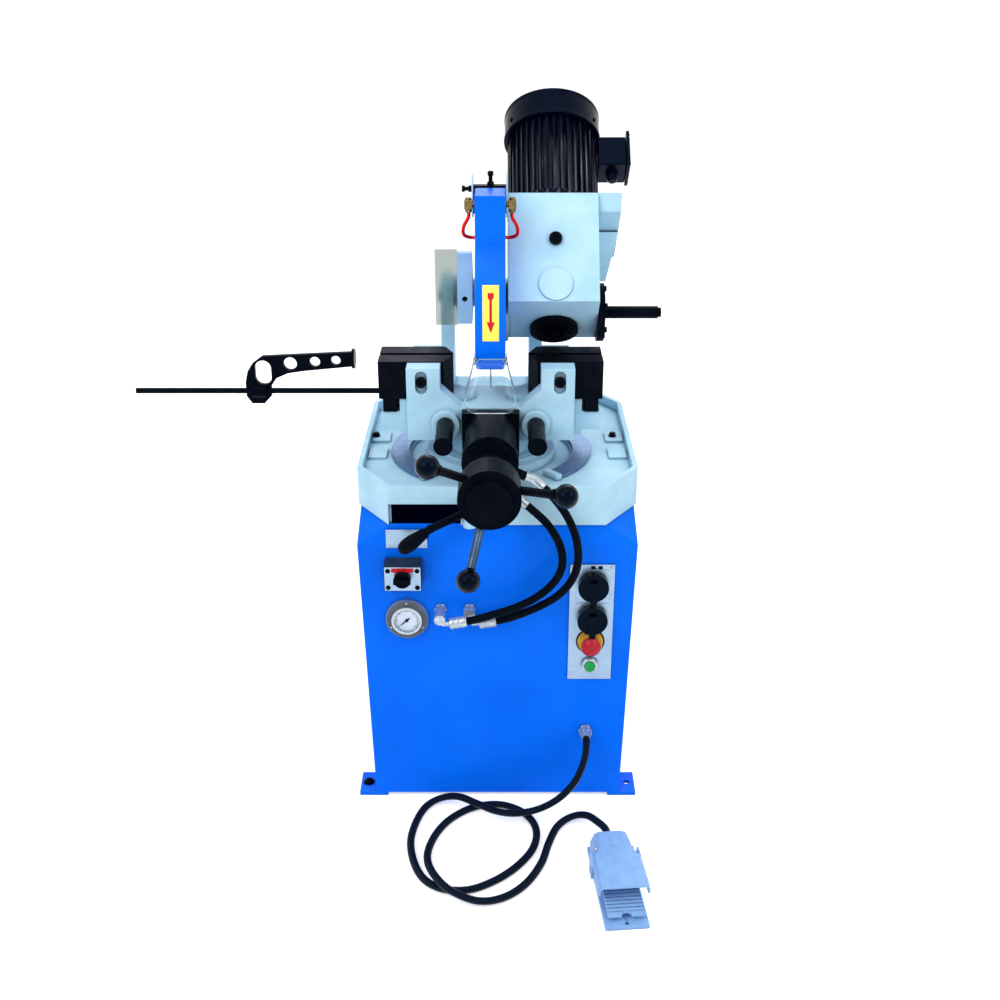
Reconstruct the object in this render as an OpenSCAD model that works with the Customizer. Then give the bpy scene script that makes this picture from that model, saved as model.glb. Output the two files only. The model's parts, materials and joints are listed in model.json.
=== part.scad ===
// Pedestal cold saw: a blue cabinet carries a tray, a fixed double vise and a swivelling saw head.
// Frame: origin on the floor under the middle of the cabinet, +X right, +Y back, +Z up. Millimetres.

/* [Cabinet] */
// Width of the cabinet
cab_w = 560; // [550:1:566]
// Depth of the cabinet
cab_d = 600; // [594:1:606]
// Height of the cabinet's straight walls, floor plates included
cab_h = 612; // [606:1:618]
// Height of the folded neck between the walls and the tray
neck_h = 43; // [40:1:46]
// Sheet thickness of the cabinet
sheet_t = 3; // [2:0.5:4]
// Thickness of the floor plates
foot_t = 8; // [6:1:10]
// Diameter of the floor bolt holes
anchor_hole_d = 14; // [10:1:16]

/* [Tray] */
// Width of the tray
tray_w = 570; // [564:1:576]
// Height of the tray's outer wall
tray_h = 82; // [80:1:84]
// Wall thickness of the tray
tray_wall = 10; // [8:1:12]

/* [Vise] */
// Side offset of the blade plane and the vise axis from the cabinet's middle
cut_x = -14; // [-16:1:-12]
// Height of the work surface above the tray's rim
table_rise = 113; // [112:1:114]
// Height of a jaw
jaw_h = 80; // [76:1:81]
// Depth of a jaw
jaw_d = 45; // [42:1:47]
// Half of the gap between the left and the right jaw
jaw_inner = 78; // [76:1:84]
// Reach of a jaw's outer end from the blade plane
jaw_outer = 230; // [228:1:236]
// Opening of the vise at rest
jaw_gap = 14; // [12:1:16]
// Radius of the guide bars
bar_r = 17.5; // [16:0.5:18]
// Radius of the clamping cylinder
cyl_r = 55; // [50:1:55]
// Length of the clamping cylinder
cyl_l = 156; // [150:1:160]
// Radius of the lead screw
screw_r = 12; // [10:0.5:13]

/* [Saw head] */
// Diameter of the blade
blade_d = 315; // [300:1:315]
// Thickness of the blade
blade_t = 2.5; // [2:0.1:3]
// Number of blade teeth
blade_teeth = 72; // [40:4:100]
// Outer radius of the blade guard
guard_r = 195; // [192:1:198]
// Width of the blade guard
guard_w = 60; // [58:1:62]
// Sheet thickness of the blade guard
guard_t = 3; // [2:0.5:4]
// Width of the gearbox
gear_w = 184; // [180:1:188]
// Radius of the motor over its fins
motor_r = 97; // [95:1:99]
// Length of the finned motor body
motor_l = 195; // [185:1:205]
// Length of the fan cowl
cowl_l = 62; // [56:1:70]
// Number of motor fins
motor_fins = 40; // [32:4:48]
// Length of the grip bar
grip_l = 120; // [110:1:130]

/* [Stock stop] */
// Length of the stop rod outside the jaw
stop_rod_l = 530; // [520:1:550]
// Radius of the stop rod
stop_rod_r = 6; // [5:0.5:7]

/* [Controls] */
// Width of the control plate
plate_w = 90; // [86:1:94]
// Height of the control plate
plate_h = 268; // [262:1:274]
// Diameter of the pressure gauge's flange
gauge_d = 86; // [80:1:92]
// Radius of the hand wheel's hub
hub_r = 58; // [54:1:60]
// Distance of the hand wheel's knobs from its axis
knob_reach = 138; // [134:1:144]
// Radius of the hand wheel's knobs
knob_r = 22; // [20:1:24]

/* [Pedal] */
// Width of the pedal's base
pedal_w = 85; // [82:1:90]
// Length of the pedal's base
pedal_l = 230; // [226:1:236]
// Outer diameter of the pedal's conduit
cord_d = 16; // [14:1:16]

/* [Hidden] */
$fn = 48;
over = 1;                  // how far a cut runs past the face that it opens
skin = 0.1;                // thickness of the sheets that a folded shape is stretched between
seat_gap = 0.3;            // air between pieces that sit on each other
run_gap = 0.05;            // radial clearance of a running fit
swivel_y = -50;            // swivel axis, close to the clamping plane
front_in = 250;            // cabinet's front from the swivel axis: the vise hangs over it
front_y = swivel_y - front_in;
back_y = front_y + cab_d;
mid_y = (front_y + back_y) / 2;
tray_in = 6;               // how much shallower the tray is than the cabinet
tray_d = cab_d - tray_in;
tray_front_y = front_y + tray_in / 2;
neck_z = cab_h + neck_h;
rim_z = neck_z + tray_h;
table_z = rim_z + table_rise;

// Cabinet details
foot_w = 62;
foot_d = 72;
foot_out = 22;             // how far a foot stands out past the cabinet's side
cab_lean = 15;             // how far each side wall leans in from the neck down to the floor
anchor_in = 17;            // bolt hole's distance from the foot's outer side
door_w = 440;
door_h = 420;
door_z = 110;
door_lap = 25;
vent_w = 160;
vent_h = 8;
vent_pitch = 24;
vents = 6;
tank_w = 320;
tank_d = 240;
tank_h = 190;
pump_r = 62;
pump_l = 170;
pump_neck_r = 30;
pump_neck_h = 20;

// Tray details
tray_cut_x = 70;
tray_cut_y = 103;
neck_in = 5;               // how far the tray stands out past the cabinet's neck
tray_floor_drop = 22;
tray_floor_t = 15;
tray_floor_z = rim_z - tray_floor_drop;
recess_r = 170;
recess_h = 6;
recess_z = tray_floor_z - recess_h;
way_r0 = 174;
way_r1 = 212;
way_h = 7;
way_from = 150;            // first and last angle of the left bearing way
way_to = 226;
slot_w = 143;              // opening in the tray's front below the lock lever
slot_h = 45;
slot_x = -144;
pad_w = 38;
pad_d = 54;
pad_h = 5;
pad_x = 253;
pad_ys = [20, -75];
lever_x = -54;             // lock lever's stud
lever_out = 18;
lever_y = tray_front_y - lever_out;
lever_rise = 26;
lever_z = neck_z + lever_rise;
lug_r = 14;
lug_h = 20;
stud_r = 6;
stud_h = 29;
lever_hub_h = 26;
lever_r = 8;
lever_mid = [-76, -30, -25];   // bend and grip end, from the hub
lever_end = [-132, -35, -67];
grip_share = 0.16;         // where the grip starts on the lever's outer run
grip_r0 = 10;
grip_r1 = 14;
grip_nose = 7;

// Pedestal, turntable and column
pedestal_r = 72;
turn_z = recess_z + seat_gap;
turn_r = 135;
turn_h = 18;
turn_step_r = 118;
turn_step_h = 8;
scale_r = 92;
scale_h = 10;
arm_z = turn_z + turn_h + turn_step_h + scale_h;
arm_t = 22;
arm_half = 70;
arm_clear = 3;
bed_z = arm_z + arm_t + arm_clear;
column_y0 = 150;
column_y1 = 290;
pivot_y = 235;
pivot_rise = 135;
pivot_z = table_z + pivot_rise;
pivot_r = 15;
ear_half = 85;             // inner face of an ear, from the blade plane
ear_t = 28;
ear_r = 45;
pin_head_r = 22;
pin_head_t = 6;
barrel_r = 32;

// Vise bed and jaws
rear_face_off = 5;
rear_face_y = swivel_y + rear_face_off;
front_face_y = rear_face_y - jaw_gap;
bracket_t = 25;
bed_front = 50;
bed_y0 = swivel_y - bed_front;
bed_y1 = rear_face_y + jaw_d + seat_gap + bracket_t;
bed_half = 188;
blade_slot_h = 15;
blade_slot_half = 30;
pad_half = 226;
pad_drop = 28;             // jaw seats below the work surface
pad_t = 40;
bracket_half0 = 104;
bracket_half1 = 165;
bracket_drop = 5;
jaw_z0 = table_z + seat_gap;
jaw_taper = 18;            // extra gap at a jaw's back
leg_half0 = 194;
leg_half1 = 222;
groove_w = 3;
groove_d = 2;
groove_pitch = 12;
grooves = 5;
bar_x = 92;
bar_drop = 38;
bar_z = table_z - bar_drop;
bar_y0 = -268;
bar_seat = 60;
bar_cap = 1.5;
bar_cap_l = 6;

// Carriage, cylinder and hand wheel
car_y1 = front_face_y - jaw_d - seat_gap;
car_t = 40;
car_y0 = car_y1 - car_t;
car_half = 170;
car_arm = 68;
car_drop = 75;
car_z0 = table_z - car_drop;
car_top_drop = 2;
car_z1 = jaw_z0 + jaw_h - car_top_drop;
car_notch_rise = 35;
car_notch_z = table_z + car_notch_rise;
car_floor_drop = 5;
car_floor_z = table_z - car_floor_drop;
car_floor_half = 60;
boss_r = 29;
boss_l = 14;
bolt_x = 140;
bolt_drop = 32;
bolt_z = jaw_z0 + jaw_h - bolt_drop;
bolt_r = 11;
bolt_h = 9;
bolt_hex_r = 6;
bolt_shank_r = 6;
bolt_l = 44;
bolt_slot = 12;            // half height that the bolt's recess adds
vise_drop = 52;
vise_z = table_z - vise_drop;
block_half = 58;
block_t = 24;
block_low = 49;
block_top = 44;
cyl_y0 = car_y0 - block_t - cyl_l;
cap_step = 4;
cap_l = 28;
screw_out = 107;           // bare screw between the cylinder and the hub
hub_l = 66;
hub_y1 = cyl_y0 - screw_out;
hub_y0 = hub_y1 - hub_l;
hub_nose_r = 40;
hub_nose_l = 16;
screw_in = 20;
screw_end_y = bed_y1 - screw_in;
spoke_r = 8;
spoke_angles = [140, 14, 254];
spoke_root = 44;
spoke_in = 40;
spoke_root_y = hub_y1 - spoke_in;
knob_out = 55;
knob_y = hub_y0 - knob_out;
port_in = 13;
port_y = cyl_y0 + port_in;
port_angles = [-25, -55];
port_r = 9;
port_end = 74;

// Saw head
spindle_y = 5;
spindle_rise = 153;
spindle_z = table_z + spindle_rise;
blade_r = blade_d / 2;
tooth_h = 4;
gullet_share = 0.2;         // where a gullet lies between two tooth tips
guard_x0 = cut_x - guard_w / 2;
guard_x1 = cut_x + guard_w / 2;
guard_drop = 56;
guard_z = spindle_z - guard_drop;
guard_back = 150;
box_y0 = -105;             // raised coolant box on the guard
box_y1 = -20;
box_rise = 260;
box_z1 = spindle_z + box_rise;
visor_t = 3;
visor_half = guard_w / 2 + visor_t + 2 * seat_gap;
visor_flare = 12;           // how much wider the skirt is than the top
visor_cut = 14;            // bevel of the flap's front corners
visor_gap = 8;
visor_z0 = table_z + visor_gap;
visor_fold_gap = 4;
visor_fold = jaw_z0 + jaw_h + visor_fold_gap;
visor_lap = 22;
visor_z1 = guard_z + visor_lap;
visor_reach = 176;
visor_y0 = swivel_y - visor_reach;
visor_skirt_d = 20;
visor_y1 = visor_y0 - visor_skirt_d;
// front of the guard where the flap's top ends
visor_top_y = spindle_y - sqrt(guard_r * guard_r - pow(spindle_z - visor_z1, 2)) - visor_t - visor_cut
    - over;
visor_depth = 40;
gear_off = 35.3;            // gearbox's left face from the blade plane
gear_x0 = cut_x + gear_off;
gear_x1 = gear_x0 + gear_w;
face_tilt = 35;            // lean of the gearbox's front face
axis_tilt = 45;            // lean of the motor axis
fold_y = -90;
fold_rise = 49;
fold_z = spindle_z + fold_rise;
face_l = 232;
face_top_y = fold_y + face_l * sin(face_tilt);
face_top_z = fold_z + face_l * cos(face_tilt);
gear_drop = 58;
gear_z0 = spindle_z - gear_drop;
gear_nose_y = fold_y + fold_z - gear_z0;
gear_back_y = 130;
gear_back_rise = 44;
gear_back_z = spindle_z + gear_back_rise;
gear_back_l = 76;
slab_edge = 3;
slab_l = 2 * (motor_r + slab_edge);
slab_t = 27;
slab_w = 48;               // how far the top plate stands out to the right
rib_t = 14;
motor_off = 4;
motor_x = gear_x0 + gear_w / 2 + motor_off;
motor_y = face_top_y + motor_r * cos(axis_tilt);
motor_z = face_top_z - motor_r * sin(axis_tilt);
flange_t = 12;
fin_h = 8;
fin_w = 4;
cowl_step = 5;
cowl_r = motor_r + cowl_step;
cowl_t = 3;
cowl_hole_r = 6;
cowl_rings = 4;
ring_holes = 6;             // holes of the first ring
rotor_r = 40;
rotor_l = 150;
shaft_r = 10;
fan_r = 70;
fan_t = 5;
fan_w = 26;
fan_blades = 6;
junction_w = 60;
junction_d = 68;
junction_l = 70;
junction_z = 150;
worm_r = 20;
worm_up = 30;
worm_down = 14;
worm_end = 4;
// distance between the motor axis and the spindle, and the place on that axis beside the spindle
worm_gap = (motor_z - spindle_z) * cos(axis_tilt) - (motor_y - spindle_y) * sin(axis_tilt);
worm_t = (motor_y - spindle_y) * sin(axis_tilt) + (motor_z - spindle_z) * cos(axis_tilt);
wheel_r = worm_gap - worm_r - seat_gap;
wheel_w = 26;
wheel_room = 3;
wheel_teeth = 30;
wheel_tooth = 2;
spindle_r = 18;
nose_r = 16;
arbor_r = 42;
arbor_t = 9;
nut_r = 24;
nut_t = 14;
flange_r = 60;
flange_w = 15;
flange_bolt_r = 6;
flange_bolt_h = 5;
flange_bolt_at = 50;
flange_bolts = 6;
grip_r = 13;
disc_r = 34;
disc_t = 4;
disc_at = 36;              // along the front face, from its fold
plug_r = 13;
plug_t = 9;
plug_at = 132;
cap_r = 50;
cap_t = 10;
cap_at = 106;
arm_in = 4;
arm_x0 = gear_x0 + arm_in;
arm_x1 = cut_x + ear_half - arm_clear;
web_in = 12;
web_x0 = cut_x - ear_half + web_in;
web_t = 32;
web_y0 = 108;
web_rise = 100;
web_z1 = spindle_z + web_rise;
web_hole_r = 6;
shield_w = 48;
shield_t = 4;
shield_y = 116;
shield_drop = 60;
shield_z0 = spindle_z - shield_drop;
shield_rise = 106;
shield_z1 = spindle_z + shield_rise;
elbow_r = 6;
elbow_h = 26;
elbow_drop = 24;
elbow_z = box_z1 - elbow_drop;
elbow_y = -62;
elbow_out = 13;
tube_r = 3.5;
valve_w = 26;
valve_h = 34;
valve_y0 = 0;
valve_y1 = 34;

// Stock stop
stop_y = rear_face_y + jaw_d / 2;
stop_drop = 10;
stop_z = table_z - stop_drop;
rod_in = 2;
rod_x1 = cut_x - leg_half0 - rod_in;
rod_x0 = cut_x - leg_half1 - stop_rod_l;
stop_out = 491;
stop_x = cut_x - stop_out;  // middle of the stop arm's clamp
clamp_r = 16;
clamp_l = 30;
stop_t = 10;
// outline of the stop arm in front view, from the middle of its clamp
stop_outline = [
    [-16, -27], [10, -27], [26, -10], [27, 12], [39, 29], [64, 40], [98, 45], [202, 55],
    [202, 86], [12, 77], [-10, 61], [-21, 44], [-27, 20], [-27, -10]];
stop_loop = [[12, 32], [12, 51]];
stop_loop_r = 17;
stop_holes = [[70, 61, 14], [122, 65, 11], [166, 68, 10]];   // place and radius of each
stop_tip = [200, 71];
stop_tip_t = 6;
stop_tip_r = 21;

// Controls
plate_t = 4;
plate_in = 89;
plate_x = cab_w / 2 - plate_in;
plate_z = 436;
knob_off = 2;
knob_x = plate_x + knob_off;
knob_zs = [525, 449];
boss_knob_r = 14;
boss_knob_h = 6;
cam_r = 31;
cam_h = 12;
cam_bar_w = 14;
cam_bar_h = 8;
cam_tab = 3;               // how far the pointer reaches past the knob's rim
cam_shaft_r = 5;
push_x = plate_x;
estop_z = 393;
start_z = 338;
collar_r = 24;
collar_h = 14;
stem_r = 9;
mushroom_r = 20;
mushroom_h = 12;
push_gap = 7;
bezel_r = 16;
bezel_h = 8;
button_r = 11;
button_up = 5;
switch_in = 92;
switch_x = switch_in - cab_w / 2;
switch_z = 557;
switch_w = 74;
switch_h = 54;
switch_d = 40;
main_knob_z = 560;
main_r = 17;
main_h = 16;
main_bar_w = 10;
gauge_in = 95;
gauge_x = gauge_in - cab_w / 2;
gauge_z = 447;
gauge_h = 9;
gauge_flange = 12;         // bare part of the flange round the bezel
gauge_rim = 5;
gauge_rim_h = 8;
dial_t = 2;
fitting_z = 468;
fitting_r = 11;
fitting_gap = 15;          // between the gauge's flange and the first port
fitting_step = 59;
fitting_x = gauge_x + gauge_d / 2 + fitting_gap + fitting_r;
// side, reach and bent tube's drop of each hose port
fittings = [[fitting_x, 45, 10], [fitting_x + fitting_step, 22, 22]];
bend_r = 5;
bend_x = 8;                // from a port to its tube's lowest point, then to its sleeve's two ends
sleeve_x0 = 20;
sleeve_x1 = 54;
sleeve_rise = 6;
sleeve_r = 11;
hose_d = 16;

// Pedal, turned a little on the floor
pedal_x = 237;
pedal_y = -292;             // from the cabinet's front
pedal_turn = 5;
pedal_t = 9;
hood_w = 100;
hood_t = 5;
hood_h = 66;
hood_y0 = -72;
hood_roof = 6;
wing_z = 46;               // lower edge of the hood's side wings
cheek_y0 = 20;             // front of the cheeks that hold the treadle's pin
house_y0 = 46;
house_w = 84;
pedal_back = 104;
treadle_w = 72;
treadle_l = 136;
treadle_t = 6;
hinge_y = 33;
hinge_z = 20;
hinge_r = 5;
hinge_boss_r = 9;
ridge_h = 2;
ridge_w = 5;
ridges = 13;
notch_r = 10;
pedal_hole_r = 4;
pedal_hole_y = -107;
pedal_port_r = 12;
pedal_port_l = 13;
pedal_port_z = 28;

// Pedal conduit: gland, route to the pedal's back, ribs. Routes start at the cabinet's front
gland_x = 187;
gland_z = 172;
gland_l = 34;
nut_share = 1 / 3;          // straight part of the gland
gland_r = 13;
cord_sides = 8;
cord_lead = 24;             // straight run into the pedal
// where the conduit meets the pedal's port
cord_end = [pedal_x - (pedal_back + pedal_port_l + seat_gap) * sin(pedal_turn),
    pedal_y + (pedal_back + pedal_port_l + seat_gap) * cos(pedal_turn), pedal_port_z];
rib_d = 1.2;
ribs_per_run = 4;
cord_route = [
    [gland_x, -gland_l, gland_z], [gland_x, -50, 170], [184, -62, 148], [174, -74, 118], [158, -82, 90],
    [132, -88, 62], [100, -93, 42], [66, -96, 31], [30, -98, 28], [-6, -88, 27], [-44, -64, 27],
    [-84, -38, 25], [-120, -30, 16], [-152, -48, 9], [-172, -98, 8], [-180, -164, 8], [-168, -231, 8],
    [-144, -279, 8], [-105, -305, 8], [-54, -306, 8], [-3, -279, 8], [41, -237, 8], [73, -184, 8],
    [81, -127, 8], [63, -80, 8], [27, -50, 8], [-14, -42, 8], [-62, -58, 8], [-107, -100, 8],
    [-135, -158, 8], [-142, -225, 16], [-124, -287, 26], [-90, -328, 24], [-39, -342, 12], [11, -329, 8],
    [55, -291, 8], [88, -231, 8], [106, -168, 8], [126, -117, 9], [156, -93, 15], [188, -98, 23],
    [214, -130, 27], cord_end + cord_lead * [-sin(pedal_turn), cos(pedal_turn), 0], cord_end];
hose_lead = 12;             // straight run out of a sleeve
function hose_end(f, out) = [f[0] + sleeve_x1, -f[1], fitting_z + sleeve_rise - f[2]]
    + out * unit([sleeve_x1 - sleeve_x0, 0, sleeve_rise]);
// low points of each hose, their sides from the first port
hose_lows = [[[192, -38, 490], [150, -29, 466]], [[154, -45, 496], [100, -46, 477]]];
function hose_low(k) = [for (p = hose_lows[k]) [fitting_x + p.x, p.y, p.z]];
hose_routes = [
    [[53.7, port_y - front_y, 766.4], [74, port_y - front_y, 757], [102, -26, 735], [132, -42, 700],
     [152, -50, 655], [158, -51, 606], [148, -49, 562], [119, -46, 522], each hose_low(0),
     hose_end(fittings[1], hose_lead), hose_end(fittings[1], seat_gap)],
    [[28.8, port_y - front_y, 736.8], [39, port_y - front_y, 722.2], [64, -24, 704], [98, -40, 676],
     [122, -47, 634], [127, -49, 592], [113, -48, 556], [82, -45, 522], each hose_low(1),
     hose_end(fittings[0], hose_lead), hose_end(fittings[0], seat_gap)]];
// coolant tube from under an elbow round to the guard's side: out from that side, back, up
tube_route = [[elbow_out, 0, -seat_gap], [elbow_out, 0, -12], [23, 4, -32], [23, 16, -50], [11, 28, -58],
    [seat_gap, 28, -58]];

// Shared shapes
function octagon(w, d, cx, cy) = [
    [-w / 2 + cx, -d / 2], [w / 2 - cx, -d / 2], [w / 2, -d / 2 + cy], [w / 2, d / 2 - cy],
    [w / 2 - cx, d / 2], [-w / 2 + cx, d / 2], [-w / 2, d / 2 - cy], [-w / 2, -d / 2 + cy]];
corner_l = norm([tray_cut_x, tray_cut_y]);
corner_in = tray_cut_x + tray_cut_y - corner_l;

module tray_outline(inset) {
    translate([0, mid_y]) polygon(octagon(tray_w - 2 * inset, tray_d - 2 * inset,
        tray_cut_x - inset * corner_in / tray_cut_y, tray_cut_y - inset * corner_in / tray_cut_x));
}

module box(x0, x1, y0, y1, z0, z1) {
    translate([x0, y0, z0]) cube([x1 - x0, y1 - y0, z1 - z0]);
}

// a side view drawn in Y and Z, made solid from x0 to x1
module across(x0, x1) {
    translate([x0, 0, 0]) rotate([90, 0, 90]) linear_extrude(x1 - x0) children();
}

// a front view drawn in X and Z, made solid from y0 to y1
module along(y0, y1) {
    translate([0, y1, 0]) rotate([90, 0, 0]) linear_extrude(y1 - y0) children();
}

module x_rod(x0, x1, y, z, r) {
    translate([x0, y, z]) rotate([0, 90, 0]) cylinder(h = x1 - x0, r = r);
}

module y_rod(x, y0, y1, z, r) {
    translate([x, y1, z]) rotate([90, 0, 0]) cylinder(h = y1 - y0, r = r);
}

module rod(a, b, r0, r1) {
    run = b - a;
    translate(a) rotate([0, acos(run.z / norm(run)), atan2(run.y, run.x)])
        cylinder(h = norm(run), r1 = r0, r2 = r1);
}

module both_sides() {
    children();
    translate([2 * cut_x, 0, 0]) mirror([1, 0, 0]) children();
}

// tubes along a route: smooth points, then rings of a few sides
function unit(v) = v / norm(v);
function at(p, i) = p[max(0, min(len(p) - 1, i))];
function smooth(p, i, t) = let (a = at(p, i - 1), b = at(p, i), c = at(p, i + 1), d = at(p, i + 2))
    (2 * b + (c - a) * t + (2 * a - 5 * b + 4 * c - d) * t * t + (3 * b - a - 3 * c + d) * t * t * t) / 2;
function heading(p, i) = unit(at(p, i + 1) - at(p, i - 1));
function ring(o, t, ref, r, n) = let (u = unit(cross(t, ref)), v = cross(t, u))
    [for (k = [0:n - 1]) o + r * (cos(360 * k / n) * u + sin(360 * k / n) * v)];
function flat(l) = [for (part = l) for (item = part) item];
function skins(m, n) = flat([for (i = [0:m - 2]) flat([for (k = [0:n - 1])
    let (a = i * n + k, b = i * n + (k + 1) % n) [[b, a, b + n], [b + n, a, a + n]]])]);

module tube(p, r, ref, n) {
    rings = [for (i = [0:len(p) - 1]) ring(p[i], heading(p, i), ref, r, n)];
    last = (len(p) - 1) * n;
    ends = [for (k = [1:n - 2]) each [[0, k, k + 1], [last, last + k + 1, last + k]]];
    polyhedron(flat(rings), concat(skins(len(p), n), ends));
}

// a ribbed tube along a smooth line, plain at both ends
module ribbed_tube(p, r, depth, per_run, ref, n) {
    steps = 2 * per_run;
    fine = concat(flat([for (i = [0:len(p) - 2]) [for (j = [0:steps - 1]) smooth(p, i, j / steps)]]),
        [p[len(p) - 1]]);
    m = len(fine);
    rings = [for (i = [0:m - 1]) ring(fine[i], heading(fine, i), ref,
        i % 2 == 0 && i >= steps && i < m - steps ? r - depth : r, n)];
    last = (m - 1) * n;
    ends = [for (k = [1:n - 2]) each [[0, k, k + 1], [last, last + k + 1, last + k]]];
    polyhedron(flat(rings), concat(skins(m, n), ends));
}

// Cabinet
module neck(inset, top) {
    hull() {
        translate([0, mid_y, cab_h]) linear_extrude(skin)
            square([cab_w - 2 * inset, cab_d - 2 * inset], center = true);
        translate([0, 0, neck_z - skin + top]) linear_extrude(skin) tray_outline(neck_in + inset);
    }
}

module walls(inset, top) {
    hull() {
        translate([0, mid_y, foot_t + inset]) linear_extrude(skin)
            square([cab_w - 2 * cab_lean - 2 * inset, cab_d - 2 * inset], center = true);
        translate([0, mid_y, cab_h - skin + top]) linear_extrude(skin)
            square([cab_w - 2 * inset, cab_d - 2 * inset], center = true);
    }
}

module cabinet() color("royalblue") {
    difference() {
        union() {
            walls(0, 0);
            neck(0, 0);
        }
        walls(sheet_t, over);
        neck(sheet_t, over);
        box(-door_w / 2, door_w / 2, back_y - sheet_t - over, back_y + over, door_z, door_z + door_h);
    }
}

module floor_plates() color("royalblue") {
    x1 = cab_w / 2 + foot_out;
    y1 = (cab_d - foot_d) / 2;
    for (sx = [-1, 1], sy = [-1, 1]) difference() {
        translate([sx * (x1 - foot_w / 2), mid_y + sy * y1, foot_t / 2])
            cube([foot_w, foot_d, foot_t], center = true);
        translate([sx * (x1 - anchor_in), mid_y + sy * y1, -over])
            cylinder(h = foot_t + 2 * over, d = anchor_hole_d);
    }
}

module rear_panel() color("royalblue") difference() {
    box(-door_w / 2 - door_lap, door_w / 2 + door_lap, back_y, back_y + sheet_t,
        door_z - door_lap, door_z + door_h + door_lap);
    for (k = [1:vents]) box(-vent_w / 2, vent_w / 2, back_y - over, back_y + sheet_t + over,
        door_z + door_h - k * vent_pitch - vent_h, door_z + door_h - k * vent_pitch);
}

module hydraulic_tank() color("slategray") {
    box(-tank_w / 2, tank_w / 2, mid_y - tank_d / 2, mid_y + tank_d / 2,
        foot_t + sheet_t, foot_t + sheet_t + tank_h);
}

module pump_motor() color("dimgray") translate([0, mid_y, foot_t + sheet_t + tank_h]) {
    cylinder(h = pump_neck_h, r = pump_neck_r);
    translate([0, 0, pump_neck_h]) cylinder(h = pump_l, r = pump_r);
}

// Tray
module tray() color("aliceblue") {
    skirt_h = tray_floor_z - tray_floor_t - neck_z;
    difference() {
        union() {
            difference() {
                translate([0, 0, neck_z]) linear_extrude(tray_h) tray_outline(0);
                translate([0, 0, tray_floor_z]) linear_extrude(tray_h) tray_outline(tray_wall);
                translate([0, 0, neck_z - over]) linear_extrude(skirt_h + over) tray_outline(tray_wall);
            }
            for (sx = [-1, 1], y = pad_ys) translate([sx * pad_x, y, tray_floor_z + pad_h / 2])
                cube([pad_w, pad_d, pad_h], center = true);
        }
        translate([cut_x, swivel_y, recess_z]) cylinder(h = tray_h, r = recess_r);
        box(slot_x - slot_w / 2, slot_x + slot_w / 2, tray_front_y - over, tray_front_y + tray_wall + over,
            neck_z - over, neck_z + slot_h);
    }
    lug_z = lever_z - lug_h;
    box(lever_x - lug_r, lever_x + lug_r, lever_y, tray_front_y + tray_wall / 2, lug_z, lever_z);
    translate([lever_x, lever_y, lug_z]) cylinder(h = lug_h, r = lug_r);
    translate([lever_x, lever_y, lever_z]) cylinder(h = stud_h, r = stud_r);
}

module bearing_ways() color("silver") both_sides()
    translate([cut_x, swivel_y, tray_floor_z]) rotate([0, 0, way_from])
        rotate_extrude(angle = way_to - way_from) translate([way_r0, 0]) square([way_r1 - way_r0, way_h]);

module lock_lever() color("black") translate([lever_x, lever_y, lever_z + seat_gap]) {
    mid = lever_mid + [0, 0, lever_hub_h / 2];
    end = lever_end + [0, 0, lever_hub_h / 2];
    difference() {
        union() {
            cylinder(h = lever_hub_h, r = lug_r);
            rod([0, 0, lever_hub_h / 2], mid, lever_r, lever_r);
            translate(mid) sphere(r = lever_r + over);
            rod(mid, mid + grip_share * (end - mid), lever_r, lever_r);
        }
        translate([0, 0, -over]) cylinder(h = lever_hub_h + 2 * over, r = stud_r + run_gap);
    }
}

module lever_grip() color("black") translate([lever_x, lever_y, lever_z + seat_gap + lever_hub_h / 2]) {
    run = lever_end - lever_mid;
    grip_len = (1 - grip_share) * norm(run);
    translate(lever_mid + grip_share * run) rotate([0, acos(run.z / norm(run)), atan2(run.y, run.x)])
        rotate_extrude() polygon([[0, 0], [grip_r0, 0], [grip_r1, grip_len], [grip_r0, grip_len + grip_nose],
            [0, grip_len + grip_nose]]);
}

// Vise
module vise_bed() color("aliceblue") {
    reach0 = bed_y0 - swivel_y - over;
    reach1 = bed_y1 - swivel_y + over;
    slot_z = table_z - blade_slot_h;
    bracket_y = rear_face_y + jaw_d + seat_gap;
    difference() {
        union() {
            translate([cut_x, swivel_y, recess_z]) cylinder(h = bed_z - recess_z + over, r = pedestal_r);
            box(cut_x - bed_half, cut_x + bed_half, bed_y0, bed_y1, bed_z, table_z);
            box(cut_x - pad_half, cut_x + pad_half, bed_y0, rear_face_y + jaw_d,
                table_z - pad_drop - pad_t, table_z - pad_drop);
            both_sides() box(cut_x + bracket_half0, cut_x + bracket_half1, bracket_y, bed_y1,
                table_z - over, jaw_z0 + jaw_h - bracket_drop);
        }
        translate([cut_x, swivel_y, slot_z]) linear_extrude(blade_slot_h + over) polygon([
            [-blade_slot_half + reach0, reach0], [blade_slot_half - reach0, reach0], [blade_slot_half, 0],
            [blade_slot_half + reach1, reach1], [-blade_slot_half - reach1, reach1], [-blade_slot_half, 0]]);
        both_sides() y_rod(cut_x + bar_x, bed_y0 - over, bed_y0 + bar_seat, bar_z, bar_r + run_gap);
        y_rod(cut_x, bed_y0 - over, bed_y1 + over, vise_z, screw_r + run_gap);
    }
}

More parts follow.
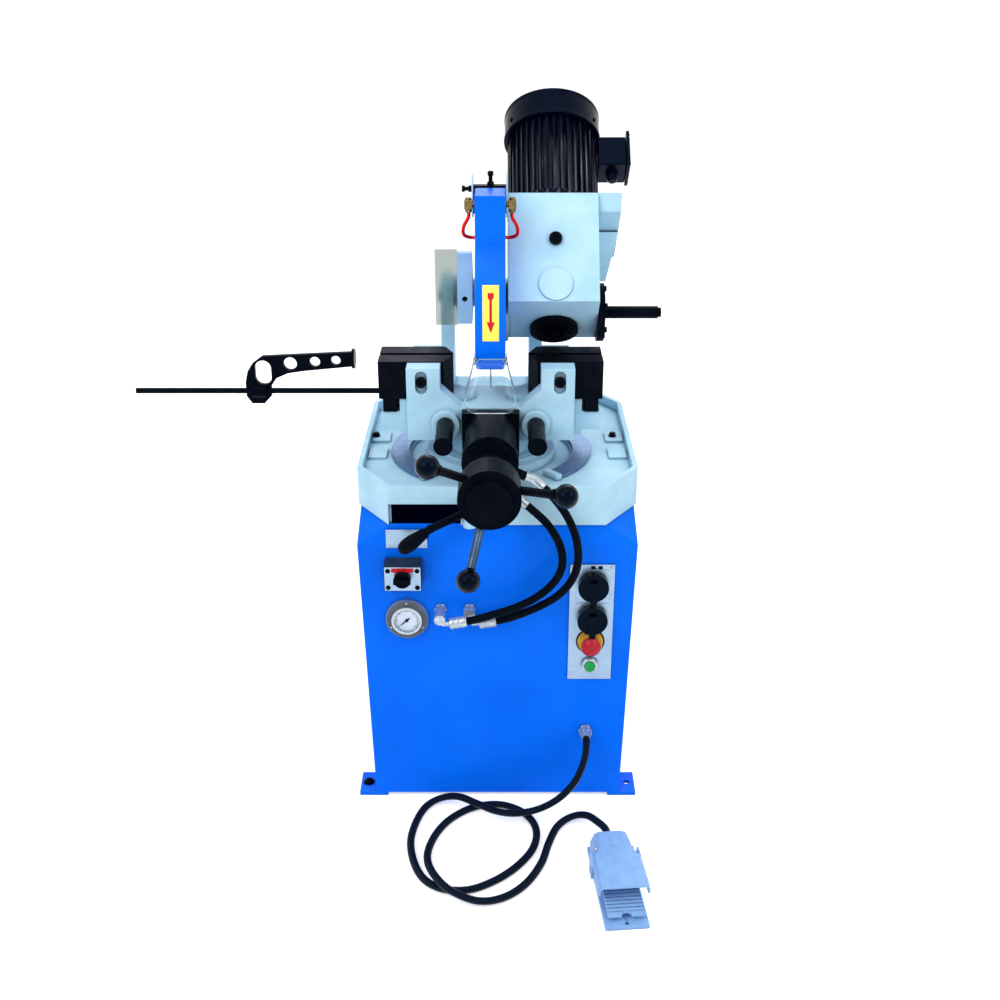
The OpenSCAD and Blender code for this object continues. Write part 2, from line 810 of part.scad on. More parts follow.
// one right-hand jaw whose clamping face is at y, with its body on the side given by turn
module jaw(y, turn) {
    back = y + turn * jaw_d;
    difference() {
        union() {
            translate([cut_x, 0, jaw_z0]) linear_extrude(jaw_h) polygon([
                [jaw_inner, y], [jaw_outer, y], [jaw_outer, back], [jaw_inner + jaw_taper, back]]);
            box(cut_x + leg_half0, cut_x + leg_half1, min(y, back), max(y, back),
                table_z - pad_drop + seat_gap, jaw_z0 + over);
        }
        for (k = [1:grooves]) translate([cut_x + jaw_inner - over, y - groove_d,
            jaw_z0 + k * groove_pitch]) cube([jaw_outer - jaw_inner + 2 * over, 2 * groove_d, groove_w]);
    }
}

module rear_jaws() color("black") difference() {
    both_sides() jaw(rear_face_y, 1);
    x_rod(cut_x - jaw_outer, rod_x1 + seat_gap, stop_y, stop_z, stop_rod_r + run_gap);
}

module guide_bars() color("black") both_sides() {
    y_rod(cut_x + bar_x, bar_y0, bed_y0 + bar_seat - seat_gap, bar_z, bar_r);
    y_rod(cut_x + bar_x, bar_y0 - bar_cap_l, bar_y0, bar_z, bar_r + bar_cap);
}

module carriage_side() {
    polygon([[-car_half, car_z0], [car_half, car_z0], [car_half, car_z1], [car_half - car_arm, car_z1],
        [car_half - car_arm, car_notch_z], [car_floor_half, car_floor_z], [-car_floor_half, car_floor_z],
        [car_arm - car_half, car_notch_z], [car_arm - car_half, car_z1], [-car_half, car_z1]]);
}

module vise_carriage() color("aliceblue") difference() {
    union() {
        translate([cut_x, 0, 0]) along(car_y0, car_y1) carriage_side();
        both_sides() y_rod(cut_x + bar_x, car_y0 - boss_l, car_y0 + over, bar_z, boss_r);
    }
    both_sides() {
        y_rod(cut_x + bar_x, car_y0 - boss_l - over, car_y1 + over, bar_z, bar_r + run_gap);
        for (dz = [-bolt_slot, bolt_slot])
            y_rod(cut_x + bolt_x, car_y0 - over, car_y0 + bolt_h, bolt_z + dz, bolt_r + over);
        box(cut_x + bolt_x - bolt_r - over, cut_x + bolt_x + bolt_r + over, car_y0 - over, car_y0 + bolt_h,
            bolt_z - bolt_slot, bolt_z + bolt_slot);
        y_rod(cut_x + bolt_x, car_y0 - over, car_y1 + over, bolt_z, bolt_shank_r + run_gap);
    }
    y_rod(cut_x, car_y0 - over, car_y1 + over, vise_z, screw_r + run_gap);
}

module front_jaws() color("black") difference() {
    both_sides() jaw(front_face_y, -1);
    both_sides() y_rod(cut_x + bolt_x, car_y1 - over, car_y0 + bolt_l + seat_gap, bolt_z,
        bolt_shank_r + run_gap);
}

module jaw_bolts() color("black") both_sides() difference() {
    union() {
        y_rod(cut_x + bolt_x, car_y0, car_y0 + bolt_h, bolt_z, bolt_r);
        y_rod(cut_x + bolt_x, car_y0 + bolt_h - over, car_y0 + bolt_l, bolt_z, bolt_shank_r);
    }
    translate([cut_x + bolt_x, car_y0 + bolt_h / 2, bolt_z]) rotate([90, 0, 0])
        cylinder(h = bolt_h, r = bolt_hex_r, $fn = 6);
}

module clamp_cylinder() color("black") difference() {
    union() {
        box(cut_x - block_half, cut_x + block_half, car_y0 - block_t, car_y0,
            vise_z - block_low, vise_z + block_top);
        y_rod(cut_x, cyl_y0 + cap_l, car_y0 - block_t + over, vise_z, cyl_r - cap_step);
        y_rod(cut_x, cyl_y0, cyl_y0 + cap_l, vise_z, cyl_r);
        for (a = port_angles) translate([cut_x, port_y, vise_z]) rotate([0, 90 - a, 0])
            translate([0, 0, cyl_r - port_r]) cylinder(h = port_end - cyl_r + port_r, r = port_r);
    }
    y_rod(cut_x, cyl_y0 - over, car_y0 + over, vise_z, screw_r + run_gap);
}

module lead_screw() color("silver") y_rod(cut_x, hub_y1, screw_end_y, vise_z, screw_r);

module hand_wheel() color("black") {
    y_rod(cut_x, hub_y0, hub_y1, vise_z, hub_r);
    y_rod(cut_x, hub_y0 - hub_nose_l, hub_y0, vise_z, hub_nose_r);
    for (a = spoke_angles)
        rod(spoke_at(a, spoke_root, spoke_root_y), spoke_at(a, knob_reach, knob_y), spoke_r, spoke_r);
}

function spoke_at(a, r, y) = [cut_x + r * cos(a), y, vise_z + r * sin(a)];

module wheel_knobs() color("black") for (a = spoke_angles) difference() {
    translate(spoke_at(a, knob_reach, knob_y)) sphere(r = knob_r);
    rod(spoke_at(a, spoke_root, spoke_root_y), spoke_at(a, knob_reach, knob_y), spoke_r, spoke_r);
}

// Swivel table and column
module turntable() color("lightgray") translate([cut_x, swivel_y, turn_z]) difference() {
    union() {
        cylinder(h = turn_h, r = turn_r);
        cylinder(h = turn_h + turn_step_h, r = turn_step_r);
        cylinder(h = turn_h + turn_step_h + scale_h, r = scale_r);
    }
    translate([0, 0, -over]) cylinder(h = arm_z, r = pedestal_r + run_gap);
}

module ear() {
    difference() {
        union() {
            polygon([[column_y0, arm_z + arm_t - over], [column_y1, arm_z + arm_t - over],
                [pivot_y + ear_r, pivot_z], [pivot_y - ear_r, pivot_z]]);
            translate([pivot_y, pivot_z]) circle(r = ear_r);
        }
        translate([pivot_y, pivot_z]) circle(r = pivot_r + run_gap);
    }
}

module column() color("gainsboro") {
    wide = ear_half + ear_t;
    difference() {
        union() {
            translate([cut_x, swivel_y, arm_z]) cylinder(h = arm_t, r = scale_r);
            box(cut_x - arm_half, cut_x + arm_half, swivel_y, column_y1, arm_z, arm_z + arm_t);
            box(cut_x - wide, cut_x + wide, column_y0, column_y1, arm_z, arm_z + arm_t);
        }
        translate([cut_x, swivel_y, arm_z - over]) cylinder(h = arm_t + 2 * over, r = pedestal_r + run_gap);
    }
    both_sides() across(cut_x + ear_half, cut_x + wide) ear();
}

module pivot_pin() color("silver") {
    out = ear_half + ear_t + seat_gap;
    x_rod(cut_x - out, cut_x + out, pivot_y, pivot_z, pivot_r);
    both_sides() x_rod(cut_x + out, cut_x + out + pin_head_t, pivot_y, pivot_z, pin_head_r);
}

// Saw head
function on_face(d) = [fold_y + d * sin(face_tilt), fold_z + d * cos(face_tilt)];
function on_nose(d) = [fold_y + d * cos(axis_tilt), fold_z - d * sin(axis_tilt)];
function on_motor_face(d, depth) = [face_top_y + d * cos(axis_tilt) - depth * sin(axis_tilt),
    face_top_z - d * sin(axis_tilt) - depth * cos(axis_tilt)];

module on_motor_axis() {
    translate([motor_x, motor_y, motor_z]) rotate([-axis_tilt, 0, 0]) children();
}

module face_disc(x, d, h, r) {
    translate([x, on_face(d).x, on_face(d).y]) rotate([90 - face_tilt, 0, 0])
        translate([0, 0, -over]) cylinder(h = h + over, r = r);
}

module gearbox() color("aliceblue") {
    difference() {
        union() {
            across(gear_x0, gear_x1) polygon([[fold_y, fold_z], [face_top_y, face_top_z],
                on_motor_face(slab_l, 0), on_motor_face(slab_l, slab_t),
                [gear_back_y, gear_back_z + gear_back_l], [gear_back_y, gear_z0], [gear_nose_y, gear_z0]]);
            across(gear_x0, gear_x1 + slab_w) polygon([on_motor_face(0, 0), on_motor_face(slab_l, 0),
                on_motor_face(slab_l, slab_t), on_motor_face(slab_t, slab_t)]);
            gear_rib();
            x_rod(guard_x1 + seat_gap, gear_x0 + over, spindle_y, spindle_z, flange_r);
            face_disc(motor_x, disc_at, disc_t, disc_r);
        }
        x_rod(guard_x1 - over, gear_x1 + over, spindle_y, spindle_z, spindle_r + run_gap);
        x_rod(motor_x - wheel_w / 2 - wheel_room, motor_x + wheel_w / 2 + wheel_room, spindle_y, spindle_z,
            wheel_r + wheel_room);
        on_motor_axis() translate([0, 0, -worm_t - worm_down - worm_end])
            cylinder(h = worm_t + worm_down + worm_end + over, r = worm_r + over);
        translate([motor_x, on_face(plug_at).x, on_face(plug_at).y]) rotate([90 - face_tilt, 0, 0])
            translate([0, 0, -plug_t]) cylinder(h = plug_t + over, r = bolt_shank_r + run_gap);
    }
}

// slanted rib under the overhanging top plate
module gear_rib() {
    translate([0, on_motor_face(slab_l / 2, slab_t).x, 0]) along(-rib_t / 2, rib_t / 2)
        polygon([[gear_x1 - over, gear_back_z], [gear_x1 + slab_w / 2, gear_back_z],
            [gear_x1 + slab_w, on_motor_face(slab_l / 2, slab_t).y],
            [gear_x1 - over, on_motor_face(slab_l / 2, slab_t).y]]);
}

module oil_plug() color("black")
    translate([motor_x, on_face(plug_at).x, on_face(plug_at).y]) rotate([90 - face_tilt, 0, 0])
    difference() {
        union() {
            cylinder(h = plug_t, r = plug_r);
            translate([0, 0, seat_gap - plug_t]) cylinder(h = plug_t, r = bolt_shank_r);
        }
        translate([0, 0, plug_t / 2]) cylinder(h = plug_t, r = bolt_hex_r, $fn = 6);
    }

module worm_cap() color("black")
    translate([motor_x, on_nose(cap_at).x, on_nose(cap_at).y]) rotate([90 + axis_tilt, 0, 0])
        translate([0, 0, seat_gap]) cylinder(h = cap_t, r = cap_r);

module head_arm() color("gainsboro") {
    web_x1 = web_x0 + web_t;
    barrel = ear_half - seat_gap;
    difference() {
        union() {
            x_rod(cut_x - barrel, cut_x + barrel, pivot_y, pivot_z, barrel_r);
            across(arm_x0, arm_x1) polygon([[gear_back_y, gear_z0 + arm_clear], [gear_back_y, gear_back_z],
                [pivot_y, pivot_z + barrel_r], [pivot_y, pivot_z - barrel_r]]);
            across(web_x0, web_x1) polygon([[web_y0, gear_z0 + arm_clear], [web_y0, web_z1],
                [gear_back_y, web_z1], [pivot_y, pivot_z + barrel_r], [pivot_y, pivot_z - barrel_r]]);
        }
        x_rod(cut_x - ear_half, cut_x + ear_half, pivot_y, pivot_z, pivot_r + run_gap);
        y_rod(web_x0 + web_t / 2, web_y0 - over, web_y0 + web_t, spindle_z, web_hole_r);
    }
}

module motor_body() color("black") on_motor_axis() difference() {
    union() {
        translate([0, 0, seat_gap]) cylinder(h = flange_t - seat_gap, r = motor_r);
        translate([0, 0, seat_gap]) cylinder(h = motor_l - seat_gap, r = motor_r - fin_h);
        for (k = [0:motor_fins - 1]) rotate([0, 0, 360 * k / motor_fins])
            translate([motor_r - fin_h - over, -fin_w / 2, flange_t - over])
                cube([fin_h, fin_w, motor_l - flange_t + over]);
    }
    translate([0, 0, -over]) cylinder(h = motor_l + 2 * over, r = shaft_r + run_gap);
    translate([0, 0, flange_t]) cylinder(h = rotor_l + 2 * over, r = rotor_r + over);
}

module fan_cowl() color("black") on_motor_axis() translate([0, 0, motor_l + seat_gap]) difference() {
    cylinder(h = cowl_l, r = cowl_r);
    translate([0, 0, cowl_t]) cylinder(h = cowl_l - 2 * cowl_t, r = cowl_r - cowl_t);
    translate([0, 0, -over]) cylinder(h = 2 * cowl_t, r = motor_r - cowl_t);
    for (n = [1:cowl_rings], k = [1:ring_holes * n]) rotate([0, 0, 360 * k / (ring_holes * n)])
        translate([n * cowl_r / (cowl_rings + 1), 0, 0]) cylinder(h = cowl_l + over, r = cowl_hole_r);
    cylinder(h = cowl_l + over, r = cowl_hole_r);
}

module terminal_box() color("black") on_motor_axis() {
    x0 = motor_r - over + seat_gap;
    translate([x0, -junction_d / 2, junction_z - junction_l / 2]) cube([junction_w, junction_d, junction_l]);
}

module spindle_flange() color("black") {
    x_rod(gear_x1, gear_x1 + flange_w, spindle_y, spindle_z, flange_r);
    for (k = [1:flange_bolts]) translate([0, spindle_y, spindle_z])
        rotate([180 * (2 * k - 1) / flange_bolts, 0, 0])
            x_rod(gear_x1 + flange_w, gear_x1 + flange_w + flange_bolt_h, flange_bolt_at, 0, flange_bolt_r);
}

module grip_bar() color("black") {
    x_rod(gear_x1 + flange_w, gear_x1 + flange_w + grip_l - grip_r / 2, spindle_y, spindle_z, grip_r);
    x_rod(gear_x1 + flange_w + grip_l - grip_r / 2, gear_x1 + flange_w + grip_l, spindle_y, spindle_z,
        grip_r - cowl_t);
}

module guard_side(inset, low) {
    intersection() {
        translate([spindle_y, spindle_z]) circle(r = guard_r - inset, $fn = 96);
        translate([spindle_y - guard_r, guard_z - low])
            square([guard_back - spindle_y + guard_r + low, 2 * guard_r]);
    }
    translate([box_y0 + inset, spindle_z]) square([box_y1 - box_y0 - 2 * inset, box_z1 - spindle_z - inset]);
}

module blade_guard() color("dodgerblue") difference() {
    across(guard_x0, guard_x1) guard_side(0, 0);
    across(guard_x0 + guard_t, guard_x1 - guard_t) guard_side(guard_t, over);
    x_rod(guard_x1 - guard_t - over, guard_x1 + over, spindle_y, spindle_z, arbor_r + guard_t);
}

// clear flap in front of the blade: an upright skirt below, drawn in to the guard above
module visor_slice(inset, y0, y1, flare) {
    half = visor_half + flare - inset;
    front = y1 + inset;
    polygon([[-half, y0], [-half, front + visor_cut], [visor_cut - half, front], [half - visor_cut, front],
        [half, front + visor_cut], [half, y0]]);
}

module visor_form(inset, back) {
    translate([cut_x, 0, visor_z0 - back]) linear_extrude(visor_fold - visor_z0 + back)
        visor_slice(inset, visor_y0 + back, visor_y1, visor_flare);
    translate([cut_x, 0, 0]) hull() {
        translate([0, 0, visor_fold - skin]) linear_extrude(skin)
            visor_slice(inset, visor_y0 + back, visor_y1, visor_flare);
        translate([0, 0, visor_z1 - skin + back]) linear_extrude(skin)
            visor_slice(inset, visor_top_y + visor_depth + back, visor_top_y, 0);
    }
}

module visor() color("lightcyan") difference() {
    visor_form(0, 0);
    visor_form(visor_t, over);
}

module rear_shield() color("lightcyan")
    box(web_x0 - shield_w, web_x0, shield_y, shield_y + shield_t, shield_z0, shield_z1);

module coolant_elbows() color("goldenrod") both_sides() {
    x = guard_x1 + elbow_out;
    x_rod(guard_x1, x, elbow_y, elbow_z, elbow_r - over);
    translate([x, elbow_y, elbow_z - elbow_h / 2]) cylinder(h = elbow_h, r = elbow_r);
}

module coolant_tubes() color("red") both_sides()
    translate([guard_x1, elbow_y, elbow_z - elbow_h / 2]) tube(tube_route, tube_r, [0, 1, 0], cord_sides);

module coolant_valve() color("black") {
    x0 = cut_x - valve_w / 2;
    floor_z = spindle_z + guard_r;
    box(x0, x0 + valve_w, valve_y0, valve_y1, floor_z + seat_gap, floor_z + valve_h);
    translate([cut_x, (valve_y0 + valve_y1) / 2, floor_z + valve_h]) cylinder(h = valve_h, r = elbow_r);
}

// Blade, spindle and worm drive
module blade() color("silver") difference() {
    x0 = cut_x - blade_t / 2;
    step = 360 / blade_teeth;
    across(x0, x0 + blade_t) translate([spindle_y, spindle_z]) polygon([for (k = [0:blade_teeth - 1]) each [
        blade_r * [cos(k * step), sin(k * step)],
        (blade_r - tooth_h) * [cos((k + gullet_share) * step), sin((k + gullet_share) * step)]]]);
    x_rod(x0 - over, x0 + blade_t + over, spindle_y, spindle_z, nose_r);
}

module spindle() color("silver") {
    left = cut_x - blade_t / 2;
    right = cut_x + blade_t / 2;
    x_rod(left - arbor_t - nut_t, right, spindle_y, spindle_z, nose_r);
    x_rod(left - arbor_t, left, spindle_y, spindle_z, arbor_r);
    x_rod(right, right + arbor_t, spindle_y, spindle_z, arbor_r);
    x_rod(right + arbor_t, gear_x1 - seat_gap, spindle_y, spindle_z, spindle_r);
    translate([left - arbor_t - nut_t, spindle_y, spindle_z]) rotate([0, 90, 0])
        cylinder(h = nut_t, r = nut_r, $fn = 6);
}

module worm_wheel() color("goldenrod") difference() {
    across(motor_x - wheel_w / 2, motor_x + wheel_w / 2) translate([spindle_y, spindle_z]) polygon([
        for (k = [0:4 * wheel_teeth - 1]) (wheel_r - (k % 4 < 2 ? 0 : wheel_tooth))
            * [cos(90 * k / wheel_teeth), sin(90 * k / wheel_teeth)]]);
    x_rod(motor_x - wheel_w, motor_x + wheel_w, spindle_y, spindle_z, spindle_r + run_gap);
}

module worm_shaft() color("silver") on_motor_axis() {
    translate([0, 0, -worm_t - worm_down]) cylinder(h = worm_up + worm_down, r = worm_r);
    translate([0, 0, -worm_t]) cylinder(h = worm_t + motor_l + fan_w + over, r = shaft_r);
    translate([0, 0, flange_t + over]) cylinder(h = rotor_l, r = rotor_r);
    translate([0, 0, motor_l + over]) {
        cylinder(h = fan_t, r = fan_r);
        for (k = [0:fan_blades - 1]) rotate([0, 0, 360 * k / fan_blades])
            translate([shaft_r - over, -fan_t / 2, 0]) cube([fan_r - shaft_r, fan_t, fan_w]);
    }
}

// Stock stop
module stop_rod() color("black") x_rod(rod_x0, rod_x1, stop_y, stop_z, stop_rod_r);

module stop_arm() color("black") translate([stop_x, 0, stop_z]) difference() {
    union() {
        x_rod(-clamp_l / 2, clamp_l / 2, stop_y, 0, clamp_r);
        along(stop_y - stop_t / 2, stop_y + stop_t / 2) difference() {
            polygon(stop_outline);
            for (p = stop_loop) translate(p) circle(r = stop_loop_r);
            translate([stop_loop[0].x - stop_loop_r, stop_loop[0].y])
                square([2 * stop_loop_r, stop_loop[1].y - stop_loop[0].y]);
            for (h = stop_holes) translate([h[0], h[1]]) circle(r = h[2]);
        }
        x_rod(stop_tip.x, stop_tip.x + stop_tip_t, stop_y, stop_tip.y, stop_tip_r);
    }
    x_rod(-2 * clamp_l, 2 * clamp_l, stop_y, 0, stop_rod_r + run_gap);
}

// Controls
module control_plate() color("silver") difference() {
    face = front_y - plate_t;
    union() {
        box(plate_x - plate_w / 2, plate_x + plate_w / 2, face, front_y, plate_z - plate_h / 2,
            plate_z + plate_h / 2);
        for (z = knob_zs) y_rod(knob_x, face - boss_knob_h, face, z, boss_knob_r);
        y_rod(push_x, face - bezel_h, face, start_z, bezel_r);
    }
    for (z = knob_zs) y_rod(knob_x, face - boss_knob_h - over, face, z, cam_shaft_r + run_gap);
    y_rod(push_x, face - bezel_h - over, face + plate_t / 2, start_z, button_r + run_gap);
}

module estop_collar() color("gold") difference() {
    y1 = front_y - plate_t;
    y_rod(push_x, y1 - collar_h, y1, estop_z, collar_r);
    y_rod(push_x, y1 - collar_h - over, y1 + over, estop_z, stem_r + run_gap);
}

module estop_button() color("red") {
    y1 = front_y - plate_t - collar_h;
    y_rod(push_x, y1 - push_gap, y1 + push_gap, estop_z, stem_r);
    translate([push_x, y1 - push_gap, estop_z]) rotate([90, 0, 0]) {
        cylinder(h = mushroom_h / 2, r = mushroom_r);
        translate([0, 0, mushroom_h / 2])
            cylinder(h = mushroom_h / 2, r1 = mushroom_r, r2 = mushroom_r - push_gap);
    }
}

module start_button() color("limegreen") {
    y1 = front_y - plate_t - bezel_h;
    y_rod(push_x, y1 - button_up, y1 + button_up, start_z, button_r);
}

module cam_knob(z) {
    y1 = front_y - plate_t - boss_knob_h - seat_gap;
    y_rod(knob_x, y1, y1 + boss_knob_h, z, cam_shaft_r);
    y_rod(knob_x, y1 - cam_h, y1, z, cam_r);
    box(knob_x - cam_bar_w / 2, knob_x + cam_bar_w / 2, y1 - cam_h - cam_bar_h, y1 - cam_h,
        z - cam_r - cam_tab, z + cam_r / 2);
}

module upper_knob() color("black") cam_knob(knob_zs[0]);

module lower_knob() color("black") cam_knob(knob_zs[1]);

module switch_box() color("dimgray") difference() {
    y0 = front_y - switch_d;
    union() {
        box(switch_x - switch_w / 2, switch_x + switch_w / 2, y0, front_y, switch_z - switch_h / 2,
            switch_z + switch_h / 2);
        y_rod(switch_x, y0 - boss_knob_h, y0, main_knob_z, boss_knob_r);
    }
    y_rod(switch_x, y0 - boss_knob_h - over, y0, main_knob_z, cam_shaft_r + run_gap);
}

module main_knob() color("black") {
    y1 = front_y - switch_d - boss_knob_h - seat_gap;
    y_rod(switch_x, y1, y1 + boss_knob_h, main_knob_z, cam_shaft_r);
    y_rod(switch_x, y1 - main_h / 2, y1, main_knob_z, main_r);
    box(switch_x - main_r, switch_x + main_r, y1 - main_h, y1 - main_h / 2, main_knob_z - main_bar_w / 2,
        main_knob_z + main_bar_w / 2);
}

module gauge_case() color("silver") {
    y_rod(gauge_x, front_y - gauge_h, front_y, gauge_z, gauge_d / 2);
    difference() {
        y_rod(gauge_x, front_y - gauge_h - gauge_rim_h, front_y - gauge_h, gauge_z,
            gauge_d / 2 - gauge_flange);
        y_rod(gauge_x, front_y - gauge_h - 2 * gauge_rim_h, front_y - gauge_h, gauge_z,
            gauge_d / 2 - gauge_flange - gauge_rim);
    }
}

module gauge_dial() color("white")
    y_rod(gauge_x, front_y - gauge_h - dial_t, front_y - gauge_h, gauge_z,
        gauge_d / 2 - gauge_flange - gauge_rim - seat_gap);

module hose_ports() color("silver") for (f = fittings) translate([f[0], front_y - f[1], fitting_z]) {
    low = [bend_x, 0, -f[2]];
    near = [sleeve_x0, 0, -f[2]];
    far = [sleeve_x1, 0, sleeve_rise - f[2]];
    y_rod(0, -bend_r, f[1], 0, fitting_r);
    rod([0, 0, 0], low, bend_r, bend_r);
    translate(low) sphere(r = bend_r + over);
    rod(low, near + over * unit(far - near), bend_r, bend_r);
    rod(near, far, sleeve_r, sleeve_r);
}

module vise_hoses() color("black") translate([0, front_y, 0])
    for (route = hose_routes) tube(route, hose_d / 2, [0, 1, 0], cord_sides);

// Pedal and its conduit
module cord_gland() color("black") {
    y_rod(gland_x, front_y - nut_share * gland_l, front_y, gland_z, gland_r);
    translate([gland_x, front_y - nut_share * gland_l, gland_z]) rotate([90, 0, 0])
        cylinder(h = (1 - nut_share) * gland_l, r1 = gland_r, r2 = cord_d / 2 + rib_d);
}

module pedal_cord() color("black") translate([0, front_y, 0])
    ribbed_tube(cord_route, cord_d / 2, rib_d, ribs_per_run, [0, 0, 1], cord_sides);

module at_pedal() {
    translate([pedal_x, front_y + pedal_y, 0]) rotate([0, 0, pedal_turn]) children();
}

module pedal_base() color("lightsteelblue") at_pedal() difference() {
    box(-pedal_w / 2, pedal_w / 2, -pedal_l / 2, pedal_l / 2, 0, pedal_t);
    translate([0, pedal_hole_y, -over]) cylinder(h = pedal_t + 2 * over, r = pedal_hole_r);
}

module pedal_hood() color("lightsteelblue") at_pedal() difference() {
    union() {
        box(-hood_w / 2, hood_w / 2, hood_y0, house_y0, hood_h - hood_roof, hood_h);
        for (sx = [-1, 1]) translate([sx * (hood_w - hood_t) / 2, 0, 0]) {
            box(-hood_t / 2, hood_t / 2, hood_y0, cheek_y0 + over, wing_z, hood_h - hood_roof + over);
            box(-hood_t / 2, hood_t / 2, cheek_y0, house_y0, pedal_t, hood_h - hood_roof + over);
        }
        box(-hood_w / 2, hood_w / 2, house_y0 - over, house_y0 + hood_t, pedal_t, hood_h);
        box(-house_w / 2, house_w / 2, house_y0, pedal_back, pedal_t, hood_h - hood_roof);
        y_rod(0, pedal_back - over, pedal_back + pedal_port_l, pedal_port_z, pedal_port_r);
    }
    x_rod(-hood_w, hood_w, hinge_y, hinge_z, hinge_r + run_gap);
}

module treadle() color("lightsteelblue") at_pedal() translate([0, hinge_y, hinge_z]) {
    x_rod(-hood_w / 2, hood_w / 2, 0, 0, hinge_r);
    x_rod(-treadle_w / 2, treadle_w / 2, 0, 0, hinge_boss_r);
    difference() {
        union() {
            box(-treadle_w / 2, treadle_w / 2, -treadle_l, 0, 0, treadle_t);
            for (k = [1:ridges]) translate([-treadle_w / 2, -treadle_l * k / (ridges + 1), treadle_t - over])
                cube([treadle_w, ridge_w, ridge_h + over]);
        }
        translate([0, -treadle_l, -over]) cylinder(h = treadle_t + ridge_h + 2 * over, r = notch_r);
    }
}

cabinet();
floor_plates();
rear_panel();
hydraulic_tank();
pump_motor();
tray();
bearing_ways();
vise_bed();
rear_jaws();
guide_bars();
control_plate();
estop_collar();
estop_button();
start_button();
upper_knob();
lower_knob();
switch_box();
main_knob();
gauge_case();
gauge_dial();
hose_ports();
vise_hoses();
cord_gland();
pedal_cord();
pedal_base();
pedal_hood();
treadle();
lock_lever();
lever_grip();
turntable();
column();
pivot_pin();
gearbox();
head_arm();
oil_plug();
worm_cap();
motor_body();
fan_cowl();
terminal_box();
spindle_flange();
grip_bar();
blade_guard();
visor();
rear_shield();
coolant_elbows();
coolant_tubes();
coolant_valve();
blade();
spindle();
worm_wheel();
worm_shaft();
vise_carriage();
front_jaws();
jaw_bolts();
clamp_cylinder();
lead_screw();
hand_wheel();
wheel_knobs();
stop_rod();
stop_arm();
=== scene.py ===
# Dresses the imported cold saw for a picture: finishes, fittings, hoses, conduit, floor, light and camera.
import json
import math

import bmesh
import bpy
from mathutils import Matrix, Vector


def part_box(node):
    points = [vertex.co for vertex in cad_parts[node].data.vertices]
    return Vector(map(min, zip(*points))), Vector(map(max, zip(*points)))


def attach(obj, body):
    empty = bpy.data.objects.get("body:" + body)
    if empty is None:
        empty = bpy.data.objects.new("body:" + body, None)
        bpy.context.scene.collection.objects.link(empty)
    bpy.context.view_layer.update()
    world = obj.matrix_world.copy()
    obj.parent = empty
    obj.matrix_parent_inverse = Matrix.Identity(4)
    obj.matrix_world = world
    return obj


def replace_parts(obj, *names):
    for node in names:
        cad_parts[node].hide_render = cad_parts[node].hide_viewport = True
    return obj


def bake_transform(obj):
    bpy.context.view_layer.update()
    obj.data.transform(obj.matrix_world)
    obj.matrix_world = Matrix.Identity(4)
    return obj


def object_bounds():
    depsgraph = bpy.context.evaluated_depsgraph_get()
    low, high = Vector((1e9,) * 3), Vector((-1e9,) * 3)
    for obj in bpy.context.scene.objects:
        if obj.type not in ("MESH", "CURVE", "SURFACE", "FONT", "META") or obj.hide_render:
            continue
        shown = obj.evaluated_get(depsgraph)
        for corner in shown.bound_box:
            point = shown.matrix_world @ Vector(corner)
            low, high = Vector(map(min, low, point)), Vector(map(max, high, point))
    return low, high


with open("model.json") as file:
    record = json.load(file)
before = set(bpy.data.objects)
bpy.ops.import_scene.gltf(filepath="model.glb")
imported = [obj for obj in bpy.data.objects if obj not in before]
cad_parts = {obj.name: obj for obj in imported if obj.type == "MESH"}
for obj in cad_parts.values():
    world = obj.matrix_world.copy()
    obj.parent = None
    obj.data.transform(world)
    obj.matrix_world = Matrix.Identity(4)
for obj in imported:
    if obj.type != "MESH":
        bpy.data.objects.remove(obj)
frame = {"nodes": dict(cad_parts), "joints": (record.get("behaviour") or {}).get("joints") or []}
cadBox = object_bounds()
nodes = frame["nodes"]
scene = bpy.context.scene
scene.view_settings.view_transform = "Standard"
mm = 0.001
samePoint = 1e-7  # points closer than this become one
axes = {joint["name"]: Vector(joint["pos_m"]) for joint in frame["joints"] if "pos_m" in joint}
print("frame loaded:", len(nodes), "nodes")


def centreOf(name):
    # middle of a solid's box at rest
    low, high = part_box(name)
    return (low + high) / 2


# camera, at the height of a standing person a good two metres in front of the saw
cameraSet = {"at": (0.005, -2.511, 1.709), "tilt": 65.7, "lens": 44.57, "sensor": 36.0}
cameraData = bpy.data.cameras.new("camera")
cameraData.lens = cameraSet["lens"]
cameraData.sensor_width = cameraSet["sensor"]
cameraData.dof.use_dof = False
camera = bpy.data.objects.new("camera", cameraData)
camera.location = cameraSet["at"]
camera.rotation_euler = (math.radians(cameraSet["tilt"]), 0, 0)
scene.collection.objects.link(camera)
scene.camera = camera


# small mesh helpers; every mesh is drawn in place, in the saw's own frame
def aimed(at, toward):
    turn = Vector(toward).to_track_quat("Z", "Y").to_matrix().to_4x4()
    return Matrix.Translation(Vector(at)) @ turn


def turned(bm, profile, place, steps=32):
    # profile is a list of (radius, height) from bottom to top, spun round the local Z
    rings = []
    for radius, height in profile:
        if radius <= 0:
            rings.append([bm.verts.new(place @ Vector((0, 0, height)))])
            continue
        rings.append([bm.verts.new(place @ Vector((radius * math.cos(math.tau * k / steps),
                                                   radius * math.sin(math.tau * k / steps), height)))
                      for k in range(steps)])
    for low, high in zip(rings, rings[1:]):
        for k in range(steps):
            ring = [low[k % len(low)], low[(k + 1) % len(low)], high[(k + 1) % len(high)],
                    high[k % len(high)]]
            corners = list(dict.fromkeys(ring))
            if len(corners) > 2:
                bm.faces.new(corners)
    for ring, flip in ((rings[0], True), (rings[-1], False)):
        if len(ring) > 2:
            bm.faces.new(ring[::-1] if flip else ring)


